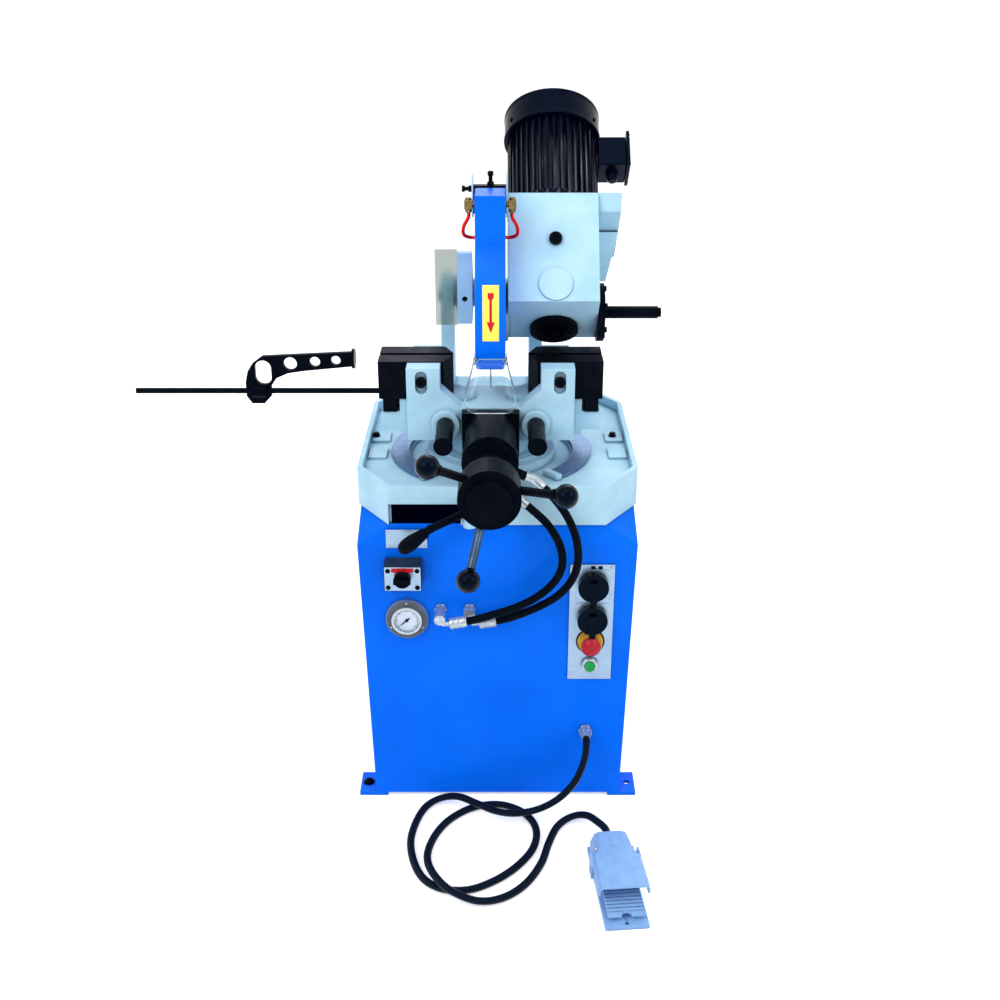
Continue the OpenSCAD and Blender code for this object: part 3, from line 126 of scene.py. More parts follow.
def inMm(pairs, across=0, along=0):
    # pairs in millimetres, counted from a radius and a height in metres
    return [(across + a * mm, along + b * mm) for a, b in pairs]


def block(bm, low, high, place=Matrix()):
    middle = (Vector(low) + Vector(high)) / 2
    size = Vector(high) - Vector(low)
    stretch = Matrix.Diagonal((*size, 1))
    bmesh.ops.create_cube(bm, size=1, matrix=place @ Matrix.Translation(middle) @ stretch)


def lofted(bm, rings, closeEnds=True, closeRing=True):
    loops = [[bm.verts.new(Vector(p)) for p in ring] for ring in rings]
    count = len(loops[0])
    for low, high in zip(loops, loops[1:]):
        for k in range(count if closeRing else count - 1):
            bm.faces.new((low[k], low[(k + 1) % count], high[(k + 1) % count], high[k]))
    if closeEnds:
        bm.faces.new(loops[0][::-1])
        bm.faces.new(loops[-1])


def slab(bm, outline, place, thick):
    # a flat outline in the local XY plane, made solid along the local Z
    lofted(bm, [[place @ Vector((x, y, z)) for x, y in outline] for z in (0, thick)])


def eased(points, perRun):
    # the same smooth line through the points as the solid's own route
    line = []

    def near(i):
        return Vector(points[max(0, min(len(points) - 1, i))])

    for i in range(len(points) - 1):
        a, b, c, d = near(i - 1), near(i), near(i + 1), near(i + 2)
        for j in range(perRun):
            t = j / perRun
            line.append((2 * b + (c - a) * t + (2 * a - 5 * b + 4 * c - d) * t * t
                         + (3 * b - a - 3 * c + d) * t ** 3) / 2)
    return line + [Vector(points[-1])]


def paced(line, step):
    # the same line with its points a fixed step apart
    out, left = [line[0].copy()], step
    for a, b in zip(line, line[1:]):
        run = (b - a).length
        while run > 0 and left <= run:
            out.append(a.lerp(b, left / run))
            a, run, left = out[-1], (b - out[-1]).length, step
        left -= run
    if (out[-1] - line[-1]).length > step / 4:
        out.append(line[-1].copy())
    else:
        out[-1] = line[-1].copy()
    return out


def swept(bm, line, radii, sides):
    # a tube along the line whose frame turns as little as it can
    ahead = [(line[min(i + 1, len(line) - 1)] - line[max(i - 1, 0)]).normalized() for i in range(len(line))]
    side = ahead[0].orthogonal().normalized()
    rings = []
    for i, (point, way) in enumerate(zip(line, ahead)):
        side = (side - way * side.dot(way)).normalized()
        other = way.cross(side)
        rings.append([point + radii[i] * (math.cos(math.tau * k / sides) * side
                                          + math.sin(math.tau * k / sides) * other) for k in range(sides)])
    lofted(bm, rings)


def piece(name, body, bm, finish, soften=0.0, sharp=40, rides=True):
    bmesh.ops.remove_doubles(bm, verts=bm.verts, dist=samePoint)
    bmesh.ops.recalc_face_normals(bm, faces=bm.faces)
    mesh = bpy.data.meshes.new(name)
    bm.to_mesh(mesh)
    bm.free()
    mesh.polygons.foreach_set("use_smooth", [True] * len(mesh.polygons))
    mesh.set_sharp_from_angle(angle=math.radians(sharp))
    obj = bpy.data.objects.new(name, mesh)
    scene.collection.objects.link(obj)
    mesh.materials.append(finish)
    if soften:
        rounding = obj.modifiers.new("rounding", "BEVEL")
        rounding.width = soften
        rounding.segments = 2
        rounding.limit_method = "ANGLE"
        rounding.angle_limit = math.radians(sharp)
    if rides:
        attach(obj, body)
    return obj


# finishes
def linear(hexText):
    parts = [int(hexText[i:i + 2], 16) / 255 for i in (1, 3, 5)]
    return tuple(c / 12.92 if c <= 0.04045 else ((c + 0.055) / 1.055) ** 2.4 for c in parts) + (1,)


def addNode(tree, kind, settings=None, links=None):
    node = tree.nodes.new(kind)
    for key, value in (settings or {}).items():
        if key == "stops":
            for spot, (at, colour) in zip(node.color_ramp.elements, value):
                spot.position, spot.color = at, colour
        elif isinstance(key, str) and hasattr(node, key):
            setattr(node, key, value)
        else:
            node.inputs[key].default_value = value
    for key, source in (links or {}).items():
        tree.links.new(source, node.inputs[key])
    return node


def perMetre(size):
    return 1 / (size * mm)


def finish(name, look):
    # one surface: colour and roughness that drift, a fine grain, edges that wear, painted shade darkening
    # the corners
    paint = bpy.data.materials.new(name)
    paint.use_nodes = True
    paint.diffuse_color = linear(look["colour"])
    tree = paint.node_tree
    shader = tree.nodes["Principled BSDF"]
    shader.inputs["Metallic"].default_value = look.get("metallic", 0)
    if not look.get("metallic"):
        shader.inputs["IOR"].default_value = look.get("ior", 1.5)
    shader.inputs["Specular IOR Level"].default_value = look.get("shine", 0.5)
    # the reflection tint paints a sky-blue reflection onto the surface
    shader.inputs["Specular Tint"].default_value = linear(look.get("reflectionTint", "#FFFFFF"))
    where = addNode(tree, "ShaderNodeTexCoord").outputs["Object"]
    drift = addNode(tree, "ShaderNodeTexNoise", {"Scale": perMetre(look["driftMm"]), "Detail": 3.0,
                                                 "Roughness": 0.55}, {"Vector": where}).outputs["Fac"]
    spread = addNode(tree, "ShaderNodeValToRGB", {"stops": [(0.35, (0, 0, 0, 1)), (0.65, (1, 1, 1, 1))]},
                     {"Fac": drift}).outputs["Color"]
    colour = addNode(tree, "ShaderNodeMix", {"data_type": "RGBA", 6: linear(look["colour"]),
                                             7: linear(look["shade"])}, {0: spread}).outputs[2]
    if "edge" in look:
        rounded = addNode(tree, "ShaderNodeBevel",
                          {"samples": 4, "Radius": look["edgeMm"] * mm}).outputs["Normal"]
        flat = addNode(tree, "ShaderNodeNewGeometry").outputs["Normal"]
        bend = addNode(tree, "ShaderNodeVectorMath", {"operation": "DOT_PRODUCT"},
                       {0: rounded, 1: flat}).outputs["Value"]
        rub = addNode(tree, "ShaderNodeMapRange", {"From Min": 0.98, "From Max": 0.75},
                      {"Value": bend}).outputs["Result"]
        patch = addNode(tree, "ShaderNodeTexNoise", {"Scale": perMetre(look["edgeMm"] * 4), "Detail": 4.0},
                        {"Vector": where}).outputs["Fac"]
        chance = addNode(tree, "ShaderNodeMapRange", {"From Min": 0.42, "From Max": 0.62,
                                                      "To Max": look["edgeShare"]},
                         {"Value": patch}).outputs["Result"]
        worn = addNode(tree, "ShaderNodeMath", {"operation": "MULTIPLY"}, {0: rub, 1: chance}).outputs[0]
        colour = addNode(tree, "ShaderNodeMix", {"data_type": "RGBA", 7: linear(look["edge"])},
                         {0: worn, 6: colour}).outputs[2]
    # painted shade: ambient occlusion darkens the colour in corners, creases and recesses
    if "paintedShade" in look:
        bare = addNode(tree, "ShaderNodeAmbientOcclusion", {"samples": 6,
                                                            "Distance": look["paintedShadeMm"] * mm}).outputs["AO"]
        cornerShadeMask = addNode(tree, "ShaderNodeMapRange", {"From Min": 0.85, "From Max": 0.25,
                                                    "To Max": look["paintedShadeShare"]},
                       {"Value": bare}).outputs["Result"]
        colour = addNode(tree, "ShaderNodeMix", {"data_type": "RGBA", 7: linear(look["paintedShade"])},
                         {0: cornerShadeMask, 6: colour}).outputs[2]
    tree.links.new(colour, shader.inputs["Base Color"])
    stretch = addNode(tree, "ShaderNodeMapping", {"Scale": look.get("stretch", (1, 1, 1))},
                      {"Vector": where}).outputs["Vector"]
    grain = addNode(tree, "ShaderNodeTexNoise", {"Scale": perMetre(look["grainMm"]), "Detail": 2.0},
                    {"Vector": stretch}).outputs["Fac"]
    rough = addNode(tree, "ShaderNodeMapRange", {"From Min": 0.3, "From Max": 0.7,
                                                 "To Min": look["rough"] - look["roughSpread"],
                                                 "To Max": look["rough"] + look["roughSpread"]},
                    {"Value": grain if "stretch" in look else drift}).outputs["Result"]
    tree.links.new(rough, shader.inputs["Roughness"])
    bump = addNode(tree, "ShaderNodeBump", {"Strength": look["bump"], "Distance": look["bumpMm"] * mm},
                   {"Height": grain}).outputs["Normal"]
    tree.links.new(bump, shader.inputs["Normal"])
    return paint


# painted reflection: the sky's blue, laid as a tint on the reflections of the dark surfaces
skyBlueReflection = "#4F86C6"
# smooth printed film and polished acetal, each in several colours
inkSkin = {"ior": 1.5, "shine": 0.15, "rough": 0.40, "roughSpread": 0.05, "driftMm": 20, "grainMm": 1.2,
           "bump": 0.06, "bumpMm": 0.05}
acetalSkin = {"ior": 1.48, "shine": 0.25, "rough": 0.28, "roughSpread": 0.05, "driftMm": 12, "grainMm": 0.9,
              "bump": 0.10, "bumpMm": 0.06}
# each finish's paintedShade colour is painted shade, laid into its corners and creases
finishes = {
    # sprayed enamel on folded sheet steel: even, strong blue with a soft orange-peel shine
    "blueEnamel": {"colour": "#006FFB", "shade": "#0068F0", "shine": 0.06, "paintedShade": "#00327E",
                   "paintedShadeMm": 14, "paintedShadeShare": 0.6, "rough": 0.34, "roughSpread": 0.05, "driftMm": 160,
                   "grainMm": 2.2, "bump": 0.12, "bumpMm": 0.25, "edge": "#2F86FA", "edgeMm": 1.6,
                   "edgeShare": 0.4},
    # the guard's enamel, a shade deeper and glossier, rubbed pale along its folds
    "guardEnamel": {"colour": "#006EFB", "shade": "#0064EA", "shine": 0.08, "paintedShade": "#003A90",
                    "paintedShadeMm": 10, "paintedShadeShare": 0.6, "rough": 0.27, "roughSpread": 0.05, "driftMm": 90,
                    "grainMm": 1.8, "bump": 0.10, "bumpMm": 0.2, "edge": "#5A9DF2", "edgeMm": 1.4,
                    "edgeShare": 0.6},
    # pale filler enamel on grey iron castings: soft pebbled skin, dull sheen, chips to grey at the edges
    "paleEnamel": {"colour": "#B4DCF0", "shade": "#A6D0E6", "shine": 0.12, "paintedShade": "#3F5668",
                   "paintedShadeMm": 14, "paintedShadeShare": 0.8, "rough": 0.42, "roughSpread": 0.06, "driftMm": 70,
                   "grainMm": 3.6, "bump": 0.4, "bumpMm": 0.6, "edge": "#8FA3AE", "edgeMm": 1.5,
                   "edgeShare": 0.55},
    # black machine enamel on iron and steel: deep, half glossy, a little grey where hands and stock rub it
    "blackEnamel": {"colour": "#04060C", "shade": "#090C13", "shine": 0.06, "reflectionTint": skyBlueReflection,
                    "rough": 0.36, "roughSpread": 0.08, "driftMm": 40, "grainMm": 1.6, "bump": 0.14,
                    "bumpMm": 0.25, "edge": "#2B313B", "edgeMm": 1.0, "edgeShare": 0.6},
    # glossy black paint on the motor's finned housing: bright streaks of light down the fins
    "motorEnamel": {"colour": "#020412", "shade": "#050818", "shine": 0.14, "reflectionTint": skyBlueReflection,
                    "rough": 0.24, "roughSpread": 0.06, "driftMm": 50, "grainMm": 2.0, "bump": 0.12,
                    "bumpMm": 0.2, "edge": "#1D2430", "edgeMm": 0.8, "edgeShare": 0.5},
    # oil-blacked steel of jaws, bolts and bars: satin, bluish, wiped with oil
    "blackenedSteel": {"colour": "#07090F", "shade": "#0D1017", "shine": 0.07, "metallic": 0.25,
                       "reflectionTint": skyBlueReflection, "rough": 0.38, "roughSpread": 0.09, "driftMm": 25,
                       "grainMm": 0.9, "bump": 0.10, "bumpMm": 0.1, "edge": "#4A525E", "edgeMm": 0.8,
                       "edgeShare": 0.7},
    # phenolic knobs, pressed and polished: near-mirror black
    "phenolic": {"colour": "#030409", "shade": "#06080D", "shine": 0.14, "ior": 1.6, "reflectionTint": skyBlueReflection,
                 "rough": 0.16, "roughSpread": 0.04, "driftMm": 30, "grainMm": 1.2, "bump": 0.05,
                 "bumpMm": 0.1},
    # moulded black ABS of caps, grips and glands: fine spark texture, soft shine
    "blackAbs": {"colour": "#05070C", "shade": "#090C12", "shine": 0.06, "ior": 1.54, "reflectionTint": skyBlueReflection,
                 "rough": 0.44, "roughSpread": 0.06, "driftMm": 30, "grainMm": 0.9, "bump": 0.25,
                 "bumpMm": 0.12},
    # milled and scraped cast iron: flat grey with short cutter marks, oil-darkened in patches
    "milledIron": {"colour": "#6F8BAF", "shade": "#5F7CA3", "metallic": 0.8, "rough": 0.40,
                   "roughSpread": 0.12, "driftMm": 24, "grainMm": 1.4, "stretch": (1, 0.08, 1),
                   "bump": 0.25, "bumpMm": 0.12},
    # ground steel bar: clean and bright with fine rings left by the wheel
    "groundSteel": {"colour": "#C3C8CC", "shade": "#B2B8BE", "metallic": 1, "rough": 0.24,
                    "roughSpread": 0.08, "driftMm": 30, "grainMm": 1.2, "stretch": (1, 1, 0.1),
                    "bump": 0.12, "bumpMm": 0.05},
    # oiled drawn bar of the bare spoke: its dark blue grey is painted reflection, with one long light
    "darkReflectionSteel": {"colour": "#3A516C", "shade": "#2C4059", "metallic": 0.85, "rough": 0.30,
                   "roughSpread": 0.08, "driftMm": 20, "grainMm": 1.2, "bump": 0.10, "bumpMm": 0.05},
    # brushed aluminium front plate: straight hairlines across, milky shine; hairlines coarsened to show
    "brushedAluminium": {"colour": "#9DB5CC", "shade": "#8FA8C1", "metallic": 0.9, "paintedShade": "#3C4A58",
                         "paintedShadeMm": 5, "paintedShadeShare": 0.6, "rough": 0.36, "roughSpread": 0.10, "driftMm": 60,
                         "grainMm": 1.1, "stretch": (0.04, 1, 1), "bump": 0.15, "bumpMm": 0.06},
    # zinc-plated steel fittings: cool silver with a cloudy bloom
    "zincPlate": {"colour": "#BCC6CE", "shade": "#9FACB6", "metallic": 0.6, "paintedShade": "#2A333C",
                  "paintedShadeMm": 5, "paintedShadeShare": 0.6, "rough": 0.27, "roughSpread": 0.10, "driftMm": 9,
                  "grainMm": 1.0, "bump": 0.08, "bumpMm": 0.06},
    # drawn brass elbows: browned, with a soft metal shine
    "brass": {"colour": "#927D50", "shade": "#74633F", "metallic": 1, "rough": 0.30, "roughSpread": 0.09,
              "driftMm": 8, "grainMm": 0.8, "bump": 0.10, "bumpMm": 0.06},
    # braided-hose cover rubber: matt black with a slight grey bloom
    "hoseRubber": {"colour": "#05080D", "shade": "#0B0F15", "shine": 0.06, "ior": 1.52, "reflectionTint": skyBlueReflection,
                   "rough": 0.50, "roughSpread": 0.08, "driftMm": 22, "grainMm": 1.0, "bump": 0.25,
                   "bumpMm": 0.12},
    # extruded polyamide conduit: matt black, light catching each rib
    "ribbedPolyamide": {"colour": "#04060D", "shade": "#0A0D14", "shine": 0.3, "ior": 1.53,
                        "reflectionTint": skyBlueReflection, "rough": 0.40, "roughSpread": 0.06, "driftMm": 26,
                        "grainMm": 0.8, "bump": 0.12, "bumpMm": 0.08},
    # hammered paint on the pedal's aluminium casting: pale blue grey with fine dimples
    "hammeredPaint": {"colour": "#8AB6E8", "shade": "#80ACDF", "shine": 0.15, "paintedShade": "#2E4560",
                      "paintedShadeMm": 8, "paintedShadeShare": 0.85, "rough": 0.38, "roughSpread": 0.06, "driftMm": 18,
                      "grainMm": 2.4, "bump": 0.35, "bumpMm": 0.5, "edge": "#D6E4F0", "edgeMm": 0.9,
                      "edgeShare": 0.6},
    # moulded acetal button caps: polished, strong colour
    "redAcetal": {**acetalSkin, "colour": "#B40524", "shade": "#A2041F"},
    "greenAcetal": {**acetalSkin, "colour": "#05A24A", "shade": "#048F40"},
    # pale yellow vinyl film of the guard's label: smooth and satin
    "yellowPrint": {**inkSkin, "colour": "#FFF06A", "shade": "#FBE95E"},
    # amber plastic ring behind the stop button: satin
    "amberPrint": {**inkSkin, "colour": "#D6A83C", "shade": "#C89A32"},
    # red ink of the arrow and the switch's strip, black ink of marks
    "redPrint": {**inkSkin, "colour": "#D2222F", "shade": "#C41B28", "rough": 0.42},
    "blackPrint": {**inkSkin, "colour": "#07090D", "shade": "#0C0F14", "rough": 0.45, "shine": 0.05,
                   "reflectionTint": skyBlueReflection},
    # slate-grey moulded ABS of the switch housing: fine texture, dull
    "greyAbs": {"colour": "#2B3848", "shade": "#243040", "shine": 0.1, "ior": 1.54, "reflectionTint": skyBlueReflection,
                "rough": 0.46, "roughSpread": 0.05, "driftMm": 30, "grainMm": 1.0, "bump": 0.25,
                "bumpMm": 0.12},
    # white enamelled dial: flat and even
    "dialEnamel": {"colour": "#CFDEF1", "shade": "#C2D3EA", "ior": 1.5, "rough": 0.35, "roughSpread": 0.04,
                   "driftMm": 25, "grainMm": 1.0, "bump": 0.04, "bumpMm": 0.04},
    # red polyurethane coolant tube: saturated and shiny
    "redTube": {"colour": "#FA1C14", "shade": "#EC140E", "ior": 1.5, "shine": 0.12, "rough": 0.22,
                "roughSpread": 0.04, "driftMm": 12, "grainMm": 1.0, "bump": 0.06, "bumpMm": 0.05},
    # plain grey enamel on the tank and the gauge's flange: dull, a little uneven
    "greyEnamel": {"colour": "#5C666F", "shade": "#535C65", "shine": 0.2, "rough": 0.5, "roughSpread": 0.06,
                   "driftMm": 60, "grainMm": 2.5, "bump": 0.2, "bumpMm": 0.3},
}
made = {name: finish(name, look) for name, look in finishes.items()}


def clearFinish(name, look):
    # a clear sheet: sharp see-through body with wiped scratches that dull it in streaks
    sheet = bpy.data.materials.new(name)
    sheet.use_nodes = True
    tree = sheet.node_tree
    shader = tree.nodes["Principled BSDF"]
    shader.inputs["Base Color"].default_value = linear(look["colour"])
    shader.inputs["IOR"].default_value = look["ior"]
    shader.inputs["Transmission Weight"].default_value = 1
    where = addNode(tree, "ShaderNodeTexCoord").outputs["Object"]
    wipe = addNode(tree, "ShaderNodeMapping", {"Scale": (1, 1, 0.12)}, {"Vector": where}).outputs["Vector"]
    streak = addNode(tree, "ShaderNodeTexNoise", {"Scale": perMetre(look["streakMm"]), "Detail": 5.0},
                     {"Vector": wipe}).outputs["Fac"]
    rough = addNode(tree, "ShaderNodeMapRange", {"From Min": 0.45, "From Max": 0.75,
                                                 "To Min": look["rough"], "To Max": look["scratched"]},
                    {"Value": streak}).outputs["Result"]
    tree.links.new(rough, shader.inputs["Roughness"])
    return sheet


clearSheets = {
    # bent polycarbonate, wiped clean: sharp see-through
    "clearFlap": {"colour": "#F2F8FA", "ior": 1.3, "streakMm": 6, "rough": 0.02, "scratched": 0.18},
    # flat polycarbonate of the rear panel, grey with dust and scratches
    "dustyPanel": {"colour": "#A6B0AB", "ior": 1.3, "streakMm": 14, "rough": 0.25, "scratched": 0.6},
    # window glass over the gauge: clear, hardly marked
    "gaugeGlass": {"colour": "#FFFFFF", "ior": 1.2, "streakMm": 10, "rough": 0.0, "scratched": 0.03}}
for sheetName, sheetLook in clearSheets.items():
    made[sheetName] = clearFinish(sheetName, sheetLook)
print("finishes made:", len(made))


# pedal conduit: leaves the gland, loops twice on the floor and goes into the back of the pedal
conduit = {"diameter": 0.016, "length": 2.072, "ribDepth": 1.2 * mm, "ribPitch": 4.2 * mm, "sides": 14,
           "plain": 0.02, "smooth": 16, "perRib": 4, "route": [
    (0.187, -0.334, 0.172), (0.187, -0.35, 0.170), (0.184, -0.362, 0.148), (0.174, -0.374, 0.118),
    (0.158, -0.382, 0.090), (0.132, -0.388, 0.062), (0.100, -0.393, 0.042), (0.066, -0.396, 0.031),
    (0.030, -0.398, 0.028), (-0.006, -0.388, 0.027), (-0.044, -0.364, 0.027), (-0.084, -0.338, 0.025),
    (-0.12, -0.33, 0.016), (-0.152, -0.348, 0.009), (-0.172, -0.398, 0.008), (-0.18, -0.464, 0.008),
    (-0.168, -0.531, 0.008), (-0.144, -0.579, 0.008), (-0.105, -0.605, 0.008), (-0.054, -0.606, 0.008),
    (-0.003, -0.579, 0.008), (0.041, -0.537, 0.008), (0.073, -0.484, 0.008), (0.081, -0.427, 0.008),
    (0.063, -0.38, 0.008), (0.027, -0.35, 0.008), (-0.014, -0.342, 0.008), (-0.062, -0.358, 0.008),
    (-0.107, -0.40, 0.008), (-0.135, -0.458, 0.008), (-0.142, -0.525, 0.016), (-0.124, -0.587, 0.026),
    (-0.09, -0.628, 0.024), (-0.039, -0.642, 0.012), (0.011, -0.629, 0.008), (0.055, -0.591, 0.008),
    (0.088, -0.531, 0.008), (0.106, -0.468, 0.008), (0.126, -0.417, 0.009), (0.156, -0.393, 0.015),
    (0.188, -0.398, 0.023), (0.214, -0.43, 0.027), (0.2247, -0.4512, 0.028), (0.2268, -0.4751, 0.028)]}


def makeConduit():
    line = paced(eased(conduit["route"], conduit["smooth"]), conduit["ribPitch"] / conduit["perRib"])
    plain = int(conduit["plain"] / conduit["ribPitch"] * conduit["perRib"])
    high = conduit["diameter"] / 2
    ribs = [high, high, high - conduit["ribDepth"], high - conduit["ribDepth"]]
    radii = [high if i < plain or i > len(line) - plain else ribs[i % len(ribs)] for i in range(len(line))]
    bm = bmesh.new()
    swept(bm, line, radii, conduit["sides"])
    obj = piece("pedalConduit", "base", bm, made["ribbedPolyamide"], sharp=60)
    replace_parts(obj, "pedal_cord")


makeConduit()


# pressure hoses from the cabinet's fittings up to the clamping cylinder; their crimped sleeves at the top
# ride with the vise
hoses = {"diameter": 0.016, "sides": 20, "smooth": 12, "step": 5 * mm, "foot": (0.08, -0.345, 0.53),
         "top": (0.08, -0.335, 0.69), "lengths": (0.449, 0.432),
         "crimp": {"length": 46 * mm, "radius": 10.5 * mm, "groove": 0.8 * mm, "grooves": 4}, "routes": [
    [(0.0537, -0.311, 0.7664), (0.074, -0.311, 0.757), (0.102, -0.326, 0.735), (0.132, -0.342, 0.700),
     (0.152, -0.35, 0.655), (0.158, -0.351, 0.606), (0.148, -0.349, 0.562), (0.119, -0.346, 0.522),
     (0.076, -0.338, 0.490), (0.034, -0.329, 0.466), (0.0088, -0.322, 0.4541),
     (-0.0027, -0.322, 0.4521)],
    [(0.0288, -0.311, 0.7368), (0.039, -0.311, 0.7222), (0.064, -0.324, 0.704), (0.098, -0.34, 0.676),
     (0.122, -0.347, 0.634), (0.127, -0.349, 0.592), (0.113, -0.348, 0.556), (0.082, -0.345, 0.522),
     (0.038, -0.345, 0.496), (-0.016, -0.346, 0.477), (-0.0502, -0.345, 0.4661),
     (-0.0617, -0.345, 0.4641)]]}


def makeHoses():
    shown = []
    crimp = hoses["crimp"]
    for k, (route, length) in enumerate(zip(hoses["routes"], hoses["lengths"])):
        line = paced(eased(route, hoses["smooth"]), hoses["step"])
        bm = bmesh.new()
        swept(bm, line, [hoses["diameter"] / 2] * len(line), hoses["sides"])
        hose = piece(f"viseHose{k + 1}", "base", bm, made["hoseRubber"], rides=False)
        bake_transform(hose)
        shown.append(hose)
        # crimped sleeve over the hose's top end
        covered = [p for i, p in enumerate(line) if i * hoses["step"] <= crimp["length"]]
        radii = [crimp["radius"] - (crimp["groove"] if i % 2 and i < 2 * crimp["grooves"] else 0)
                 for i in range(len(covered))]
        bm = bmesh.new()
        swept(bm, covered, radii, hoses["sides"])
        piece(f"hoseCrimp{k + 1}", "vise_slider", bm, made["zincPlate"], soften=0.4 * mm)
    for hose in shown:
        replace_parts(hose, "vise_hoses")


makeHoses()


# red coolant tubes from the elbows down into the guard's sides
coolant = {"radius": 3.5 * mm, "sides": 14, "smooth": 12, "step": 3 * mm, "routes": [
    [(-0.057, -0.062, 1.2257), (-0.057, -0.062, 1.214), (-0.067, -0.058, 1.194), (-0.067, -0.046, 1.176),
     (-0.055, -0.034, 1.168), (-0.0443, -0.034, 1.168)],
    [(0.029, -0.062, 1.2257), (0.029, -0.062, 1.214), (0.039, -0.058, 1.194), (0.039, -0.046, 1.176),
     (0.027, -0.034, 1.168), (0.0163, -0.034, 1.168)]]}


def makeCoolantTubes():
    bm = bmesh.new()
    for route in coolant["routes"]:
        line = paced(eased(route, coolant["smooth"]), coolant["step"])
        swept(bm, line, [coolant["radius"]] * len(line), coolant["sides"])
    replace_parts(piece("coolantTubes", "saw_head", bm, made["redTube"]), "coolant_tubes")


makeCoolantTubes()
print("conduit, hoses and tubes laid")


# finishes and edge rounding of the solids: node -> finish, edge radius in mm
solidFinish = {"cabinet": ("blueEnamel", 2.0), "floor_plates": ("blueEnamel", 1.0),
               "rear_panel": ("blueEnamel", 0.8), "hydraulic_tank": ("greyEnamel", 2.0),
               "pump_motor": ("motorEnamel", 2.0), "tray": ("paleEnamel", 2.5),
               "bearing_ways": ("milledIron", 0.6), "vise_bed": ("paleEnamel", 2.0),
               "rear_jaws": ("blackenedSteel", 0.8), "guide_bars": ("blackEnamel", 1.0),
               "control_plate": ("brushedAluminium", 0.8), "estop_collar": ("amberPrint", 1.0),
               "estop_button": ("redAcetal", 2.0), "start_button": ("greenAcetal", 1.0),
               "upper_knob": ("phenolic", 2.0), "lower_knob": ("phenolic", 2.0),
               "switch_box": ("greyAbs", 2.0), "main_knob": ("blackAbs", 1.2),
               "gauge_case": ("zincPlate", 1.5), "gauge_dial": ("dialEnamel", 0.3),
               "hose_ports": ("zincPlate", 1.0), "cord_gland": ("zincPlate", 1.0),
               "pedal_base": ("hammeredPaint", 0.6), "pedal_hood": ("hammeredPaint", 2.0),
               "treadle": ("hammeredPaint", 0.8), "lock_lever": ("blackEnamel", 1.5),
               "lever_grip": ("blackAbs", 1.0), "turntable": ("paleEnamel", 1.2),
               "column": ("paleEnamel", 3.0), "pivot_pin": ("groundSteel", 1.0),
               "gearbox": ("paleEnamel", 3.0), "head_arm": ("paleEnamel", 3.0),
               "oil_plug": ("blackAbs", 1.0), "worm_cap": ("blackAbs", 2.0),
               "motor_body": ("motorEnamel", 0.6), "fan_cowl": ("motorEnamel", 1.0),
               "terminal_box": ("motorEnamel", 2.5), "spindle_flange": ("blackEnamel", 1.2),
               "grip_bar": ("blackEnamel", 1.5), "blade_guard": ("guardEnamel", 1.5),
               "rear_shield": ("dustyPanel", 0.5), "coolant_elbows": ("brass", 0.8),
               "coolant_valve": ("blackAbs", 1.5), "blade": ("groundSteel", 0.0),
               "spindle": ("groundSteel", 0.8), "worm_wheel": ("brass", 0.0),
               "worm_shaft": ("groundSteel", 0.0), "vise_carriage": ("paleEnamel", 0.8),
               "front_jaws": ("blackenedSteel", 0.8), "jaw_bolts": ("blackenedSteel", 0.6),
               "clamp_cylinder": ("blackEnamel", 1.5), "lead_screw": ("groundSteel", 0.5),
               "hand_wheel": ("blackEnamel", 2.5), "wheel_knobs": ("phenolic", 0.0),
               "stop_rod": ("blackEnamel", 0.8), "stop_arm": ("blackEnamel", 1.0),
               "visor": ("clearFlap", 0.0), "pedal_cord": ("ribbedPolyamide", 0.0),
               "vise_hoses": ("hoseRubber", 0.0), "coolant_tubes": ("redTube", 0.0)}
edgeSet = {"weld": 0.002 * mm, "segments": 2, "angle": 30}


def dressSolids():
    for name, (finishName, radius) in solidFinish.items():
        obj = nodes[name]
        mesh = obj.data
        mesh.materials.clear()
        mesh.materials.append(made[finishName])
        mesh.polygons.foreach_set("material_index", [0] * len(mesh.polygons))
        mesh.polygons.foreach_set("use_smooth", [True] * len(mesh.polygons))
        if "custom_normal" in mesh.attributes:
            mesh.attributes.remove(mesh.attributes["custom_normal"])
        joined = obj.modifiers.new("joined", "WELD")
        joined.merge_threshold = edgeSet["weld"]
        if radius:
            rounding = obj.modifiers.new("rounding", "BEVEL")
            rounding.width = radius * mm
            rounding.segments = edgeSet["segments"]
            rounding.limit_method = "ANGLE"
            rounding.angle_limit = math.radians(edgeSet["angle"])
        shading = obj.modifiers.new("shading", "WEIGHTED_NORMAL")
        shading.keep_sharp = False


dressSolids()
print("solids dressed:", len(solidFinish))


# fasteners, drawn at a point and facing a way
def capScrew(bm, at, way, radius, height):
    socket = radius * 0.55
    turned(bm, [(radius, 0), (radius, height * 0.86), (radius * 0.9, height), (socket, height),
                (socket, height * 0.45), (0, height * 0.45)], aimed(at, way), 24)


def domeHead(bm, at, way, radius, height):
    arc = [(radius * math.cos(a), height * math.sin(a)) for a in (0, 0.35, 0.7, 1.05, 1.3)]
    turned(bm, [(radius, -0.4 * mm)] + arc + [(0, height)], aimed(at, way), 24)


def hexHead(bm, at, way, radius, height):
    profile = [(radius, 0), (radius, height * 0.85), (radius * 0.88, height), (0, height)]
    turned(bm, profile, aimed(at, way), 6)


def washer(bm, at, way, radius, height):
    profile = [(radius, 0), (radius, height * 0.6), (radius * 0.93, height), (0, height)]
    turned(bm, profile, aimed(at, way), 28)


front = (0, -1, 0)
rear = (0, 1, 0)
leftward = (-1, 0, 0)
up = (0, 0, 1)
upright = Matrix.Rotation(math.radians(90), 4, "X")  # sets a flat outline up to face the front
cutX = centreOf("blade").x  # the blade's plane
swivelAxis = axes["swivel"].xy
guardLow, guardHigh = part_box("blade_guard")


